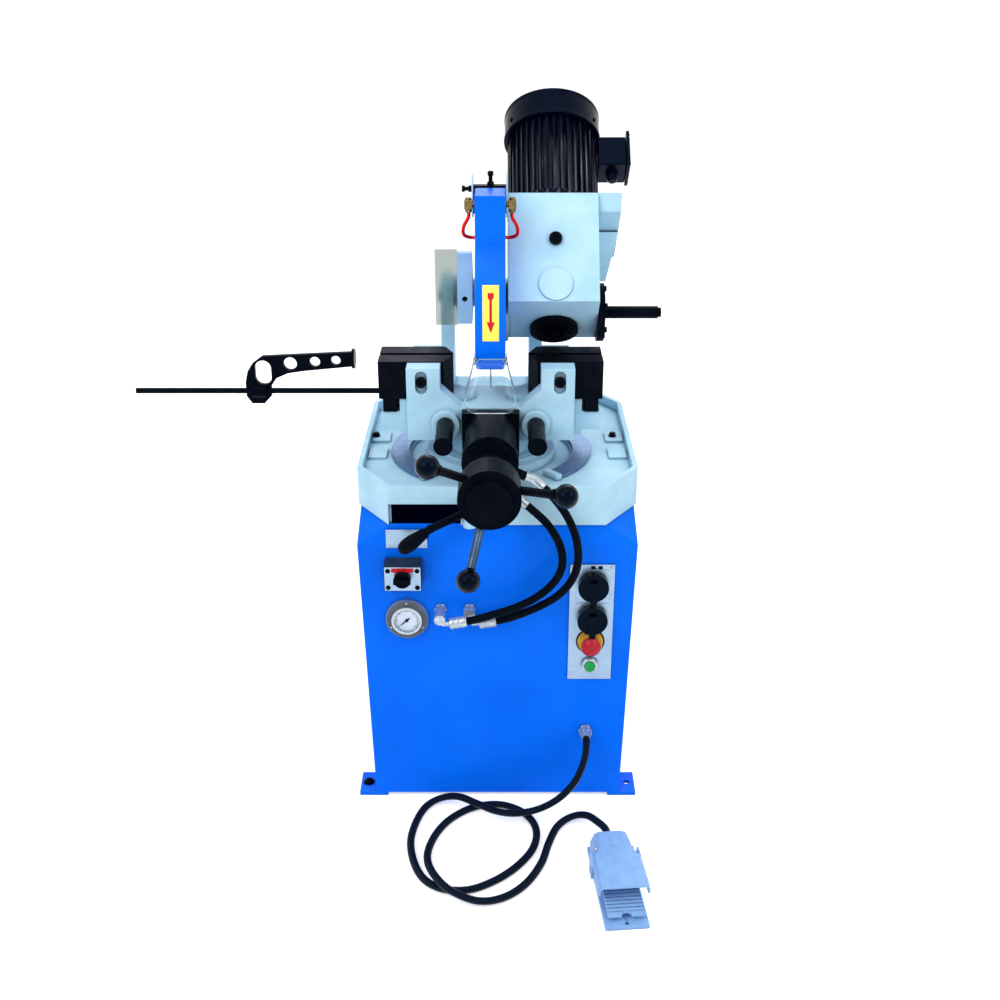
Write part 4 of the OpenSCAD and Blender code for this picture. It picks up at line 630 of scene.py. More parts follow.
# label on the guard's round front, with a plain arrow that points the way the blade turns
guardLabel = {"x0": cutX - 15 * mm, "x1": cutX + 17 * mm, "from": -1.0, "to": 31.0,
              "hub": centreOf("blade").yz, "radius": 195 * mm, "steps": 24, "sunk": 0.2 * mm,
              "lift": 0.35 * mm, "arrowSteps": 6, "arrowX": cutX + 1 * mm, "arrowLift": 0.6 * mm,
              # angle in degrees and half width in mm of the arrow from its point to its tail
              "arrow": [(4.0, 0.3), (10.0, 8.0), (9.2, 2.6), (22.5, 2.6), (23.5, 6.0), (26.5, 6.0),
                        (25.6, 0.3)]}


def onGuard(x, degrees, lift):
    y, z = guardLabel["hub"]
    r = guardLabel["radius"] + lift
    a = math.radians(degrees)
    return Vector((x, y - r * math.cos(a), z + r * math.sin(a)))


def makeGuardLabel():
    look = guardLabel
    rings = []
    for k in range(look["steps"] + 1):
        a = look["from"] + (look["to"] - look["from"]) * k / look["steps"]
        rings.append([onGuard(look["x0"], a, -look["sunk"]), onGuard(look["x1"], a, -look["sunk"]),
                      onGuard(look["x1"], a, look["lift"]), onGuard(look["x0"], a, look["lift"])])
    bm = bmesh.new()
    lofted(bm, rings)
    piece("guardLabel", "saw_head", bm, made["yellowPrint"], sharp=50)
    rings = []
    for (a0, w0), (a1, w1) in zip(look["arrow"], look["arrow"][1:]):
        for k in range(look["arrowSteps"]):
            share = k / look["arrowSteps"]
            a, w = a0 + (a1 - a0) * share, (w0 + (w1 - w0) * share) * mm
            rings.append([onGuard(look["arrowX"] - w, a, 0), onGuard(look["arrowX"] + w, a, 0),
                          onGuard(look["arrowX"] + w, a, look["arrowLift"]),
                          onGuard(look["arrowX"] - w, a, look["arrowLift"])])
    bm = bmesh.new()
    lofted(bm, rings)
    piece("guardArrow", "saw_head", bm, made["redPrint"], sharp=50)


makeGuardLabel()


# bent bracket on top of the guard that holds the coolant valve, with its bolt
valveLow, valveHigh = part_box("coolant_valve")
valveBracket = {"left": guardLow.x - 8 * mm, "right": guardHigh.x + 4.5 * mm, "front": valveLow.y + 4 * mm,
                "back": valveHigh.y + 6 * mm, "foot": valveLow.z + 0.2 * mm, "top": valveHigh.z + 18 * mm,
                "sheet": 3 * mm, "footCut": (8 * mm, 10 * mm), "topCut": (6 * mm, 8 * mm),
                "webFrom": 2 * mm, "webTo": 24 * mm,
                "boltZ": valveHigh.z - 12 * mm, "boltHead": (7 * mm, 7 * mm),
                # radius and height in mm of the bolt's shank and of the stem
                "boltShape": [(4, 0), (4, 14), (6.5, 14), (6.5, 20), (0, 20)],
                "stemShape": [(7, 0), (7, 6), (4, 8), (4, 18), (6, 19), (6, 26), (4.5, 28), (0, 28)],
                "stem": (cutX, centreOf("coolant_valve").y, valveHigh.z - 4 * mm),
                "valve": ((guardLow.x - 2 * mm, valveLow.y + 10 * mm, valveHigh.z - 30 * mm),
                          (guardHigh.x - 1 * mm, valveHigh.y - 4 * mm, valveHigh.z - 4 * mm))}


def makeValveBracket():
    look = valveBracket
    t = look["sheet"]
    y0, y1, z0, z1 = look["front"], look["back"], look["foot"], look["top"]
    (footY, footZ), (topY, topZ) = look["footCut"], look["topCut"]
    side = [(y0 + footY, z0), (y1, z0), (y1, z1), (y0 + topY, z1), (y0, z1 - topZ), (y0, z0 + footZ)]
    bm = bmesh.new()
    for x in (look["left"], look["right"] - t):
        slab(bm, side, Matrix(((0, 0, 1, x), (1, 0, 0, 0), (0, 1, 0, 0), (0, 0, 0, 1))), t)
    block(bm, (look["left"], y1 - t, z0 + look["webFrom"]), (look["right"], y1, z1 - look["webTo"]))
    piece("valveBracket", "saw_head", bm, made["paleEnamel"], soften=0.7 * mm)
    bm = bmesh.new()
    at = (look["left"], (y0 + y1) / 2, look["boltZ"])
    hexHead(bm, at, leftward, *look["boltHead"])
    turned(bm, inMm(look["boltShape"]), aimed(at, leftward), 20)
    piece("bracketBolt", "saw_head", bm, made["blackenedSteel"], soften=0.4 * mm)
    bm = bmesh.new()
    turned(bm, inMm(look["stemShape"]), aimed(look["stem"], up), 24)
    block(bm, *look["valve"])
    piece("valveStem", "saw_head", bm, made["blackAbs"], soften=1.0 * mm)


makeValveBracket()


# hex nuts and square bodies of the coolant elbows
elbowLow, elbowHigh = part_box("coolant_elbows")
elbowNuts = {"x": (elbowLow.x + 6 * mm, elbowHigh.x - 6 * mm), "y": centreOf("coolant_elbows").y,
             "z": centreOf("coolant_elbows").z, "wide": 8 * mm, "high": 9 * mm, "nut": 7 * mm,
             "neck": 4 * mm}


def makeElbowNuts():
    bm = bmesh.new()
    for x, side in zip(elbowNuts["x"], (-1, 1)):
        y, z, nut = elbowNuts["y"], elbowNuts["z"], elbowNuts["nut"]
        wide, high = elbowNuts["wide"], elbowNuts["high"]
        block(bm, (x - wide, y - wide, z - high), (x + wide, y + wide, z + high))
        hexHead(bm, (x, y, z - high), (0, 0, -1), nut, nut)
        hexHead(bm, (x - side * wide, y, z), (-side, 0, 0), nut, elbowNuts["neck"])
    piece("elbowNuts", "saw_head", bm, made["brass"], soften=0.8 * mm)


makeElbowNuts()


# blue tip that closes the guard's front below its edge
guardTip = {"back": -0.150, "rings": [  # height, front, half width
    (0.953, -0.1838, 29.0 * mm), (0.946, -0.1838, 28.6 * mm), (0.941, -0.1828, 27.4 * mm),
    (0.9385, -0.1810, 24.5 * mm)]}


def makeGuardTip():
    bm = bmesh.new()
    lofted(bm, [[(cutX - half, y, z), (cutX + half, y, z), (cutX + half, guardTip["back"], z),
                 (cutX - half, guardTip["back"], z)] for z, y, half in guardTip["rings"]])
    piece("guardTip", "saw_head", bm, made["guardEnamel"], soften=1.0 * mm)


makeGuardTip()


# clear flap below the guard: a bent sheet, open at the back, that flares out over the vise
flap = {"sheet": 1.6 * mm, "rows": [
    # height, half width, front, how far the sides run back
    (0.968, 0.0318, -0.2035, 0.036), (0.954, 0.0340, -0.2105, 0.037), (0.939, 0.0375, -0.2210, 0.038),
    (0.925, 0.0420, -0.2310, 0.036), (0.911, 0.0465, -0.2385, 0.032), (0.897, 0.0495, -0.2440, 0.027),
    (0.886, 0.0502, -0.2465, 0.023), (0.878, 0.0486, -0.2475, 0.020), (0.873, 0.0450, -0.2475, 0.019),
    (0.871, 0.0395, -0.2475, 0.018)], "corner": 0.016, "arc": 7}


def makeFlap():
    rings = []
    for z, half, y, back in flap["rows"]:
        r = flap["corner"]
        path = [(-half, y + back)]
        path += [(-half + r - r * math.cos(a), y + r - r * math.sin(a))
                 for a in (math.pi / 2 * k / flap["arc"] for k in range(flap["arc"] + 1))]
        path += [(half - r + r * math.sin(a), y + r - r * math.cos(a))
                 for a in (math.pi / 2 * k / flap["arc"] for k in range(flap["arc"] + 1))]
        path.append((half, y + back))
        rings.append([(cutX + x, py, z) for x, py in path])
    bm = bmesh.new()
    lofted(bm, rings, closeEnds=False, closeRing=False)
    sheet = piece("clearFlap", "saw_head", bm, made["clearFlap"], sharp=80)
    thick = sheet.modifiers.new("thickness", "SOLIDIFY")
    thick.thickness = flap["sheet"]
    thick.offset = 0
    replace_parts(sheet, "visor")


makeFlap()
print("guard fittings made")


# round cap on the gearbox's lower face: raised rings, a middle boss and three screws
wormCap = {"at": (0.1173, -0.0122, 0.9742), "way": (0, -0.7071, -0.7071), "height": 10 * mm,
           "rings": (42 * mm, 35 * mm, 28 * mm), "screws": 3, "screwAt": 31 * mm, "screwUp": 1 * mm,
           "screw": (3.6 * mm, 3 * mm),
           # each ring counted from its radius, and the boss, in mm
           "ringShape": [(0, -0.5), (0, 0.9), (-1.2, 1.6), (-3.4, 1.6), (-4.4, 0.4)], "ringFloor": 0.4 * mm,
           "bossShape": [(11, 0), (11, 2.4), (9.5, 3.4), (0, 3.4)]}


def makeWormCap():
    place = aimed(Vector(wormCap["at"]) + Vector(wormCap["way"]) * wormCap["height"], wormCap["way"])
    bm = bmesh.new()
    for r in wormCap["rings"]:
        turned(bm, inMm(wormCap["ringShape"], r) + [(0, wormCap["ringFloor"])], place, 56)
    turned(bm, inMm(wormCap["bossShape"]), place, 36)
    piece("capRings", "saw_head", bm, made["blackAbs"])
    bm = bmesh.new()
    for k in range(wormCap["screws"]):
        a = math.tau * (k + 0.25) / wormCap["screws"]
        at = Vector((wormCap["screwAt"] * math.cos(a), wormCap["screwAt"] * math.sin(a), wormCap["screwUp"]))
        capScrew(bm, place @ at, wormCap["way"], *wormCap["screw"])
    piece("capScrews", "saw_head", bm, made["blackenedSteel"])


makeWormCap()


# motor: rolled rim and screws of the fan cowl, lid and gland of the terminal box
motor = {"at": axes["motor_spin"], "lean": -45, "body": 195 * mm, "cowl": 102 * mm,
         "cowlEnd": 257.3 * mm, "screws": (-30, 42, 118, 210), "boxOut": 157.3 * mm, "boxHalf": 34 * mm,
         "boxFrom": 115 * mm, "boxTo": 185 * mm, "lidUp": 12 * mm, "lidLap": 4 * mm, "lidThick": 6 * mm,
         "raisedIn": 9 * mm, "raised": 2 * mm, "screwIn": 6 * mm, "glandIn": 30 * mm,
         "cowlScrew": (5 * mm, 3.4 * mm), "cowlScrewUp": 20 * mm, "lidScrew": (3.4 * mm, 2 * mm),
         "glandNut": (14 * mm, 9 * mm), "gap": 0.3 * mm, "sunk": 0.5 * mm,
         # rims counted from the cowl's radius and its two ends, and the gland, in mm
         "rimShape": [(-0.2, 9), (1.6, 8), (2.2, 4), (1.6, 0), (-0.2, -0.2)],
         "endShape": [(-0.2, -10), (0.9, -8), (0.9, -3), (-3, 0.8)],
         "glandShape": [(11, 8), (11, 16), (8, 20), (0, 20)]}


def makeMotorFittings():
    place = Matrix.Translation(motor["at"]) @ Matrix.Rotation(math.radians(motor["lean"]), 4, "X")
    r, z = motor["cowl"], motor["body"] + motor["gap"]
    bm = bmesh.new()
    turned(bm, inMm(motor["rimShape"], r, z), place, 64)
    turned(bm, inMm(motor["endShape"], r, motor["cowlEnd"]), place, 64)
    piece("cowlRims", "saw_head", bm, made["motorEnamel"])
    bm = bmesh.new()
    for degrees in motor["screws"]:
        a = math.radians(degrees)
        out = place.to_3x3() @ Vector((math.cos(a), math.sin(a), 0))
        at = place @ Vector((r * math.cos(a), r * math.sin(a), z + motor["cowlScrewUp"]))
        domeHead(bm, at, out, *motor["cowlScrew"])
    piece("cowlScrews", "saw_head", bm, made["blackenedSteel"])
    bm = bmesh.new()
    x, half = motor["boxOut"], motor["boxHalf"] + motor["lidLap"]
    low, high = motor["boxFrom"] - motor["lidLap"], motor["boxTo"] + motor["lidUp"]
    t, edge, inset = motor["lidThick"], motor["raisedIn"], motor["screwIn"]
    block(bm, (x - motor["sunk"], -half, low), (x + t, half, high), place)
    block(bm, (x + t - motor["sunk"], -half + edge, low + edge),
          (x + t + motor["raised"], half - edge, high - edge), place)
    sideways = place.to_3x3() @ Vector((1, 0, 0))
    for y in (-half + inset, half - inset):
        for z in (low + inset, high - inset):
            domeHead(bm, place @ Vector((x + t, y, z)), sideways, *motor["lidScrew"])
    gland = place @ Vector((x - motor["glandIn"], 0, motor["boxFrom"]))
    down = place.to_3x3() @ Vector((0, 0, -1))
    hexHead(bm, gland, down, *motor["glandNut"])
    turned(bm, inMm(motor["glandShape"]), aimed(gland, down), 24)
    piece("terminalLid", "saw_head", bm, made["motorEnamel"], soften=1.2 * mm)


makeMotorFittings()
print("motor fittings made")


# vise: screws on the cylinder's front, a collar round the screw, bare spoke and collars of the hand wheel
viseAxis = {"x": cutX, "z": axes["wheel_turn"].z, "front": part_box("clamp_cylinder")[0].y,
            "screwAt": 44 * mm, "screws": 4, "screw": (5 * mm, 5 * mm),
            # radius and height in mm of the collar round the screw
            "collar": [(12.2, 0), (24, 0), (24, 5), (22, 7), (19, 8), (18, 16), (12.2, 17)]}
wheel = {"bareSpoke": 254, "blackSpokes": (140, 14), "collarIn": 29 * mm, "spoke": 8.4 * mm,
         "root": 44 * mm, "rootY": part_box("hand_wheel")[1].y - 40 * mm,
         "reach": 138 * mm, "knobY": centreOf("wheel_knobs").y,
         # radius less than the spoke's in mm, share of its length
         "bareShape": [(0, 0.12), (0, 0.80), (1.2, 0.84), (1.2, 0.90)],
         # radius and height in mm of the collars at the knobs
         "collar": [(8.1, 0), (11, 0.5), (11, 7), (8.1, 9)]}


def spokeEnds(degrees):
    a = math.radians(degrees)
    return [Vector((cutX + r * math.cos(a), y, viseAxis["z"] + r * math.sin(a)))
            for r, y in ((wheel["root"], wheel["rootY"]), (wheel["reach"], wheel["knobY"]))]


def makeViseFittings():
    bm = bmesh.new()
    for k in range(viseAxis["screws"]):
        a = math.tau * (k + 0.5) / viseAxis["screws"]
        at = (viseAxis["x"] + viseAxis["screwAt"] * math.cos(a), viseAxis["front"],
              viseAxis["z"] + viseAxis["screwAt"] * math.sin(a))
        capScrew(bm, at, front, *viseAxis["screw"])
    piece("cylinderScrews", "vise_slider", bm, made["blackenedSteel"])
    bm = bmesh.new()
    place = aimed((viseAxis["x"], viseAxis["front"], viseAxis["z"]), front)
    turned(bm, inMm(viseAxis["collar"]), place, 40)
    piece("screwGland", "vise_slider", bm, made["blackEnamel"], soften=0.5 * mm)
    inner, outer = spokeEnds(wheel["bareSpoke"])
    run = outer - inner
    profile = [(wheel["spoke"] - less * mm, run.length * share) for less, share in wheel["bareShape"]]
    bm = bmesh.new()
    turned(bm, profile, aimed(inner, run), 28)
    piece("bareSpoke", "vise_wheel", bm, made["darkReflectionSteel"], soften=0.3 * mm)
    bm = bmesh.new()
    for degrees in wheel["blackSpokes"]:
        start, end = spokeEnds(degrees)
        ahead = (end - start).normalized()
        turned(bm, inMm(wheel["collar"]), aimed(end - ahead * wheel["collarIn"], ahead), 28)
    piece("knobCollars", "vise_wheel", bm, made["blackEnamel"], soften=0.3 * mm)


makeViseFittings()


# degree marks on the turntable's step; every fifth one is longer
scaleMarks = {"middle": swivelAxis, "top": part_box("turntable")[1].z - 10 * mm, "sunk": 0.2 * mm,
              "proud": 0.25 * mm, "outer": 117 * mm, "short": 5 * mm, "long": 10 * mm, "wide": 0.8 * mm,
              "every": 3}


def makeScaleMarks():
    look = scaleMarks
    bm = bmesh.new()
    for k in range(360 // look["every"]):
        a = math.radians(k * look["every"])
        length = look["long"] if k % 5 == 0 else look["short"]
        place = Matrix.Translation((*look["middle"], look["top"])) @ Matrix.Rotation(a, 4, "Z")
        block(bm, (look["outer"] - length, -look["wide"] / 2, -look["sunk"]),
              (look["outer"], look["wide"] / 2, look["proud"]), place)
    piece("scaleMarks", "swivel_table", bm, made["blackPrint"])


makeScaleMarks()


# tray: two bolts, and the lugs at the front ends of the bearing ways
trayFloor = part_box("bearing_ways")[0].z
trayBits = {"floor": trayFloor, "pad": trayFloor + 5 * mm, "boltX": (-266 * mm, 251 * mm),
            "boltY": 20.7 * mm, "washer": (9 * mm, 1.6 * mm), "head": (7 * mm, 7 * mm),
            "headUp": 1.5 * mm, "middle": swivelAxis, "lugAt": 193 * mm, "lugAngles": (229.5, 310.5),
            "lug": (44 * mm, 16 * mm, 12 * mm), "lugSunk": 0.5 * mm}


def makeTrayBits():
    bm = bmesh.new()
    for x in trayBits["boltX"]:
        washer(bm, (x, trayBits["boltY"], trayBits["pad"]), up, *trayBits["washer"])
        hexHead(bm, (x, trayBits["boltY"], trayBits["pad"] + trayBits["headUp"]), up, *trayBits["head"])
    piece("trayBolts", "base", bm, made["blackenedSteel"], soften=0.4 * mm)
    bm = bmesh.new()
    wide, deep, high = trayBits["lug"]
    for degrees in trayBits["lugAngles"]:
        a = math.radians(degrees)
        x = trayBits["middle"].x + trayBits["lugAt"] * math.cos(a)
        y = trayBits["middle"].y + trayBits["lugAt"] * math.sin(a)
        place = Matrix.Translation((x, y, trayBits["floor"])) @ Matrix.Rotation(a, 4, "Z")
        block(bm, (-wide / 2, -deep / 2, -trayBits["lugSunk"]), (wide / 2, deep / 2, high), place)
    piece("wayLugs", "base", bm, made["paleEnamel"], soften=2.5 * mm)


makeTrayBits()


# lock lever's grip: a moulded pear that swells towards its end
leverGrip = {"hub": (*axes["lock_swing"].xy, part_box("lock_lever")[1].z - 13 * mm),
             "share": 0.16, "past": 7 * mm,
             # the lever's bend and end, counted from its hub in mm
             "bend": (-76, -30, -25), "end": (-132, -35, -67),
             # share of the length, radius in mm
             "shape": [(0, 9.0), (0.03, 10.4), (0.10, 11.2), (0.25, 12.6), (0.45, 14.6), (0.62, 15.4),
                       (0.78, 14.6), (0.90, 11.8), (0.97, 7.6), (1.0, 3.0)]}


def makeLeverGrip():
    hub = Vector(leverGrip["hub"])
    bend, end = (Vector(leverGrip[k]) * mm for k in ("bend", "end"))
    start = hub + bend.lerp(end, leverGrip["share"])
    ahead = (end - bend).normalized()
    length = (hub + end - start).length + leverGrip["past"]
    bm = bmesh.new()
    profile = [(radius * mm, length * share) for share, radius in leverGrip["shape"]] + [(0, length)]
    turned(bm, profile, aimed(start, ahead), 32)
    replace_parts(piece("leverGrip", "lock_handle", bm, made["blackAbs"], sharp=60),
                "lever_grip")


makeLeverGrip()
print("vise, tray and lever fittings made")


# front of the cabinet: rating plate, switch face, gauge, control plate, fittings
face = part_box("cabinet")[0].y  # the cabinet's front
ratingPlate = {"low": (-222 * mm, 606 * mm), "high": (-140 * mm, 646 * mm), "thick": 0.8 * mm,
               "rivetIn": 4 * mm, "rivet": (1.8 * mm, 0.9 * mm)}
switchFace = {"x": centreOf("switch_box").x, "z": centreOf("switch_box").z, "half": (36 * mm, 26 * mm),
              "front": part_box("switch_box")[0].y + 6 * mm, "thick": 1.2 * mm, "screw": (5 * mm, 3 * mm),
              "screwIn": 7 * mm, "screwDown": 8 * mm, "strip": (22 * mm, 15 * mm, 24 * mm),
              "stripLift": 0.5 * mm, "stripSunk": 0.2 * mm}
gauge = {"at": centreOf("gauge_case").xz, "dial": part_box("gauge_dial")[0].y,
         "rim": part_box("gauge_case")[0].y, "radius": 26 * mm, "needle": 222,
         "flange": (31.2 * mm, 42.6 * mm), "flangeFront": face - 9 * mm, "screwAt": 37 * mm,
         "screws": (90, 210, 330), "screw": (2.6 * mm, 1.8 * mm), "marks": 31, "first": 225, "sweep": 270,
         # length and half width of long and short marks, where they end, how deep and proud they are
         "long": (4 * mm, 0.6 * mm), "short": (2.2 * mm, 0.35 * mm), "markEnd": 23 * mm,
         "markDeep": 0.4 * mm, "markProud": 0.1 * mm, "needleLift": 1.6 * mm, "needleThick": 0.5 * mm,
         "glassBack": 3 * mm,
         # needle's outline, its pin, and the flange's face counted from its two radii, in mm
         "needleShape": [(-8, -1.6), (2, -1.3), (20, -0.3), (20, 0.3), (2, 1.3), (-8, 1.6)],
         "pinShape": [(3.4, -1.6), (3.4, 1.9), (2.6, 2.6), (0, 2.6)],
         "outerEdge": [(0, -0.2), (0, 0.3), (-0.4, 0.6)], "innerEdge": [(0, 0.6), (0, -0.2)],
         # glass: edge counted from its radius in mm, then share of the radius and height in mm
         "glassEdge": [(-0.4, -1), (-0.4, 0.4)], "glassShape": [(0.7, 1.2), (0.35, 1.7), (0, 1.8)]}


def makeCabinetFace():
    bm = bmesh.new()
    (x0, z0), (x1, z1) = ratingPlate["low"], ratingPlate["high"]
    block(bm, (x0, face - ratingPlate["thick"], z0), (x1, face, z1))
    inset = ratingPlate["rivetIn"]
    for x in (x0 + inset, x1 - inset):
        for z in (z0 + inset, z1 - inset):
            domeHead(bm, (x, face - ratingPlate["thick"], z), front, *ratingPlate["rivet"])
    piece("ratingPlate", "base", bm, made["brushedAluminium"], soften=0.3 * mm)
    look = switchFace
    halfX, halfZ = look["half"]
    bm = bmesh.new()
    plate = look["front"] - look["thick"]
    block(bm, (look["x"] - halfX, plate, look["z"] - halfZ),
          (look["x"] + halfX, look["front"], look["z"] + halfZ))
    piece("switchFace", "base", bm, made["brushedAluminium"], soften=1.0 * mm)
    bm = bmesh.new()
    half, low, high = look["strip"]
    block(bm, (look["x"] - half, plate - look["stripLift"], look["z"] + low),
          (look["x"] + half, plate + look["stripSunk"], look["z"] + high))
    piece("switchStrip", "base", bm, made["redPrint"], soften=0.2 * mm)
    bm = bmesh.new()
    for x in (-halfX + look["screwIn"], halfX - look["screwIn"]):
        for z in (-halfZ + look["screwIn"], halfZ - look["screwDown"]):
            domeHead(bm, (look["x"] + x, plate, look["z"] + z), front, *look["screw"])
    piece("switchScrews", "base", bm, made["blackAbs"])


def makeGauge():
    look = gauge
    x, z = look["at"]
    bm = bmesh.new()
    for k in range(look["marks"]):
        a = math.radians(look["first"] - look["sweep"] * k / (look["marks"] - 1))
        length, wide = look["long"] if k % 5 == 0 else look["short"]
        turn = Matrix.Translation((x, look["dial"], z)) @ Matrix.Rotation(-a, 4, "Y")
        block(bm, (look["markEnd"] - length, -look["markDeep"], -wide),
              (look["markEnd"], look["markProud"], wide), turn)
    a = math.radians(look["needle"])
    turn = Matrix.Translation((x, look["dial"] - look["needleLift"], z)) @ Matrix.Rotation(-a, 4, "Y")
    slab(bm, inMm(look["needleShape"]), turn @ upright, look["needleThick"])
    turned(bm, inMm(look["pinShape"]), aimed((x, look["dial"], z), front), 24)
    piece("gaugeMarks", "base", bm, made["blackPrint"])
    bm = bmesh.new()
    r = look["radius"]
    dome = inMm(look["glassEdge"], r) + [(r * share, height * mm) for share, height in look["glassShape"]]
    turned(bm, dome, aimed((x, look["rim"] + look["glassBack"], z), front), 48)
    piece("gaugeGlass", "base", bm, made["gaugeGlass"])
    bm = bmesh.new()
    near, far = look["flange"]
    profile = inMm(look["outerEdge"], far) + inMm(look["innerEdge"], near)
    turned(bm, profile, aimed((x, look["flangeFront"], z), front), 56)
    piece("gaugeFlange", "base", bm, made["greyEnamel"])
    bm = bmesh.new()
    for degrees in look["screws"]:
        a = math.radians(degrees)
        at = (x + look["screwAt"] * math.cos(a), look["flangeFront"], z + look["screwAt"] * math.sin(a))
        domeHead(bm, at, front, *look["screw"])
    piece("gaugeScrews", "base", bm, made["zincPlate"])


makeCabinetFace()
makeGauge()


# control plate: corner screws, plates and position marks behind the knobs, the stop button's disc
plateLow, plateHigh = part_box("control_plate")
upperKnob, lowerKnob = axes["upper_cam_turn"], axes["lower_cam_turn"]
controls = {"x": centreOf("control_plate").x, "z": centreOf("control_plate").z,
            "half": (plateHigh - plateLow).xz / 2, "front": face - 4 * mm, "inset": 6 * mm,
            "screw": (3.6 * mm, 2.4 * mm), "knobX": upperKnob.x, "knobZ": (upperKnob.z, lowerKnob.z),
            "square": 34 * mm, "cut": 4 * mm, "thick": 1.4 * mm, "dots": (60, 120), "dotAt": 29 * mm,
            "markX": (-1 * mm, 14 * mm), "markZ": upperKnob.z + 38.5 * mm, "mark": (4 * mm, 3.5 * mm),
            "stopZ": centreOf("estop_button").z, "disc": 29.5 * mm,
            "startZ": centreOf("start_button").z, "startLift": 8 * mm, "markLift": 0.4 * mm,
            # radius and height in mm, of the disc and its rim counted from the disc's edge
            "dotShape": [(1.6, -0.2), (1.6, 0.3), (0, 0.3)],
            "discShape": [(-3, -0.2), (-3, 1.5), (-3.6, 1.7)], "discTop": 1.7 * mm,
            "rimShape": [(0, -0.2), (0, 1.2), (-0.6, 1.5), (-3.2, 1.5)],
            "bezelShape": [(17.4, -5), (17.4, -1), (16.2, 1), (12.2, 1.2), (11.6, -0.5)]}


def makeControls():
    look = controls
    halfX, halfZ = look["half"]
    bm = bmesh.new()
    for x in (-halfX + look["inset"], halfX - look["inset"]):
        for z in (-halfZ + look["inset"], halfZ - look["inset"]):
            domeHead(bm, (look["x"] + x, look["front"], look["z"] + z), front, *look["screw"])
    piece("plateScrews", "base", bm, made["zincPlate"])
    bm = bmesh.new()
    s, cut = look["square"], look["cut"]
    for z in look["knobZ"]:
        slab(bm, [(-s, -s + cut), (-s + cut, -s), (s - cut, -s), (s, -s + cut), (s, s - cut), (s - cut, s),
                  (-s + cut, s), (-s, s - cut)],
             Matrix.Translation((look["knobX"], look["front"], z)) @ upright, look["thick"])
    piece("knobPlates", "base", bm, made["brushedAluminium"], soften=0.3 * mm)
    bm = bmesh.new()
    z = look["markZ"]
    wide, high = look["mark"]
    for x in look["markX"]:
        block(bm, (look["knobX"] + x - wide, look["front"] - look["markLift"], z - high),
              (look["knobX"] + x + wide, look["front"], z + high))
    for z in look["knobZ"]:
        for degrees in look["dots"]:
            a = math.radians(degrees)
            at = (look["knobX"] + look["dotAt"] * math.cos(a), look["front"] - look["thick"],
                  z + look["dotAt"] * math.sin(a))
            turned(bm, inMm(look["dotShape"]), aimed(at, front), 16)
    piece("positionMarks", "base", bm, made["blackPrint"])
    bm = bmesh.new()
    place = aimed((look["x"], look["front"], look["stopZ"]), front)
    r = look["disc"]
    turned(bm, inMm(look["discShape"], r) + [(0, look["discTop"])], place, 48)
    piece("stopDisc", "base", bm, made["amberPrint"])
    bm = bmesh.new()
    turned(bm, inMm(look["rimShape"], r), place, 48)
    piece("stopDiscRim", "base", bm, made["blackPrint"])
    bm = bmesh.new()
    place = aimed((look["x"], look["front"] - look["startLift"], look["startZ"]), front)
    turned(bm, inMm(look["bezelShape"]), place, 40)
    piece("startBezel", "base", bm, made["zincPlate"])


makeControls()


# hose ports on the cabinet: bulkhead nuts and crimped sleeves; gland nut of the conduit
ports = {"z": 468 * mm,
         # place along the wall, reach and drop of each elbow
         "at": [(-116 * mm, 45 * mm, 10 * mm), (-57 * mm, 22 * mm, 22 * mm)],
         # each nut's radius and height, wall nut first; the sleeve's start, end and rise along the wall
         "wallNut": (13 * mm, 6 * mm), "elbowNut": (12 * mm, 9 * mm), "sleeve": (20 * mm, 54 * mm, 6 * mm),
         "mouth": 10.6 * mm,
         # radius and height in mm along the sleeve, which is crimped in two grooves
         "bands": [(11.2, 0), (11.8, 1), (11.8, 8), (11.3, 9), (11.3, 11), (11.8, 12), (11.8, 19),
                   (11.3, 20), (11.3, 22), (11.8, 23), (11.8, 31)]}
glandNut = {"at": centreOf("cord_gland").xz, "radius": 15 * mm, "wallNut": 7 * mm, "capNut": 9 * mm,
            "capShare": 0.92}


def makeFittings():
    near, far, rise = ports["sleeve"]
    bm = bmesh.new()
    for x, out, drop in ports["at"]:
        hexHead(bm, (x, face, ports["z"]), front, *ports["wallNut"])
        hexHead(bm, (x, face - out + ports["elbowNut"][1], ports["z"]), front, *ports["elbowNut"])
        start = Vector((x + near, face - out, ports["z"] - drop))
        way = Vector((far - near, 0, rise))
        turned(bm, inMm(ports["bands"]) + [(ports["mouth"], way.length)], aimed(start, way), 32)
    x, z = glandNut["at"]
    r, cap = glandNut["radius"], glandNut["capNut"]
    hexHead(bm, (x, face, z), front, r, glandNut["wallNut"])
    hexHead(bm, (x, face - cap, z), front, r * glandNut["capShare"], cap)
    piece("portNuts", "base", bm, made["zincPlate"], soften=0.5 * mm)


makeFittings()


# anchor at the front left foot, latches on the rear panel and a black sheet just inside it, behind its
# louvres
feetLow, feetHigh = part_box("floor_plates")
footBolt = {"at": (feetLow.x + 17 * mm, feetLow.y + 36 * mm), "top": feetHigh.z,
            "washer": (12.5 * mm, 2 * mm), "head": (10 * mm, 8 * mm)}
panelLow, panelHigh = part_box("rear_panel")
panelLatch = {"x": panelHigh.x - 40 * mm, "z": (panelLow.z + 30 * mm, panelHigh.z - 30 * mm),
              "y": panelHigh.y, "capShape": [(11, 0), (11, 2), (9, 4), (0, 4)],
              "grip": (8 * mm, 1.6 * mm), "gripFrom": 3.5 * mm, "gripTo": 7 * mm}
louvreBacking = {"half": 92 * mm, "z": (panelHigh.z - 215 * mm, panelHigh.z - 33 * mm),
           "y": (panelLow.y - 2.8 * mm, panelLow.y - 0.3 * mm)}


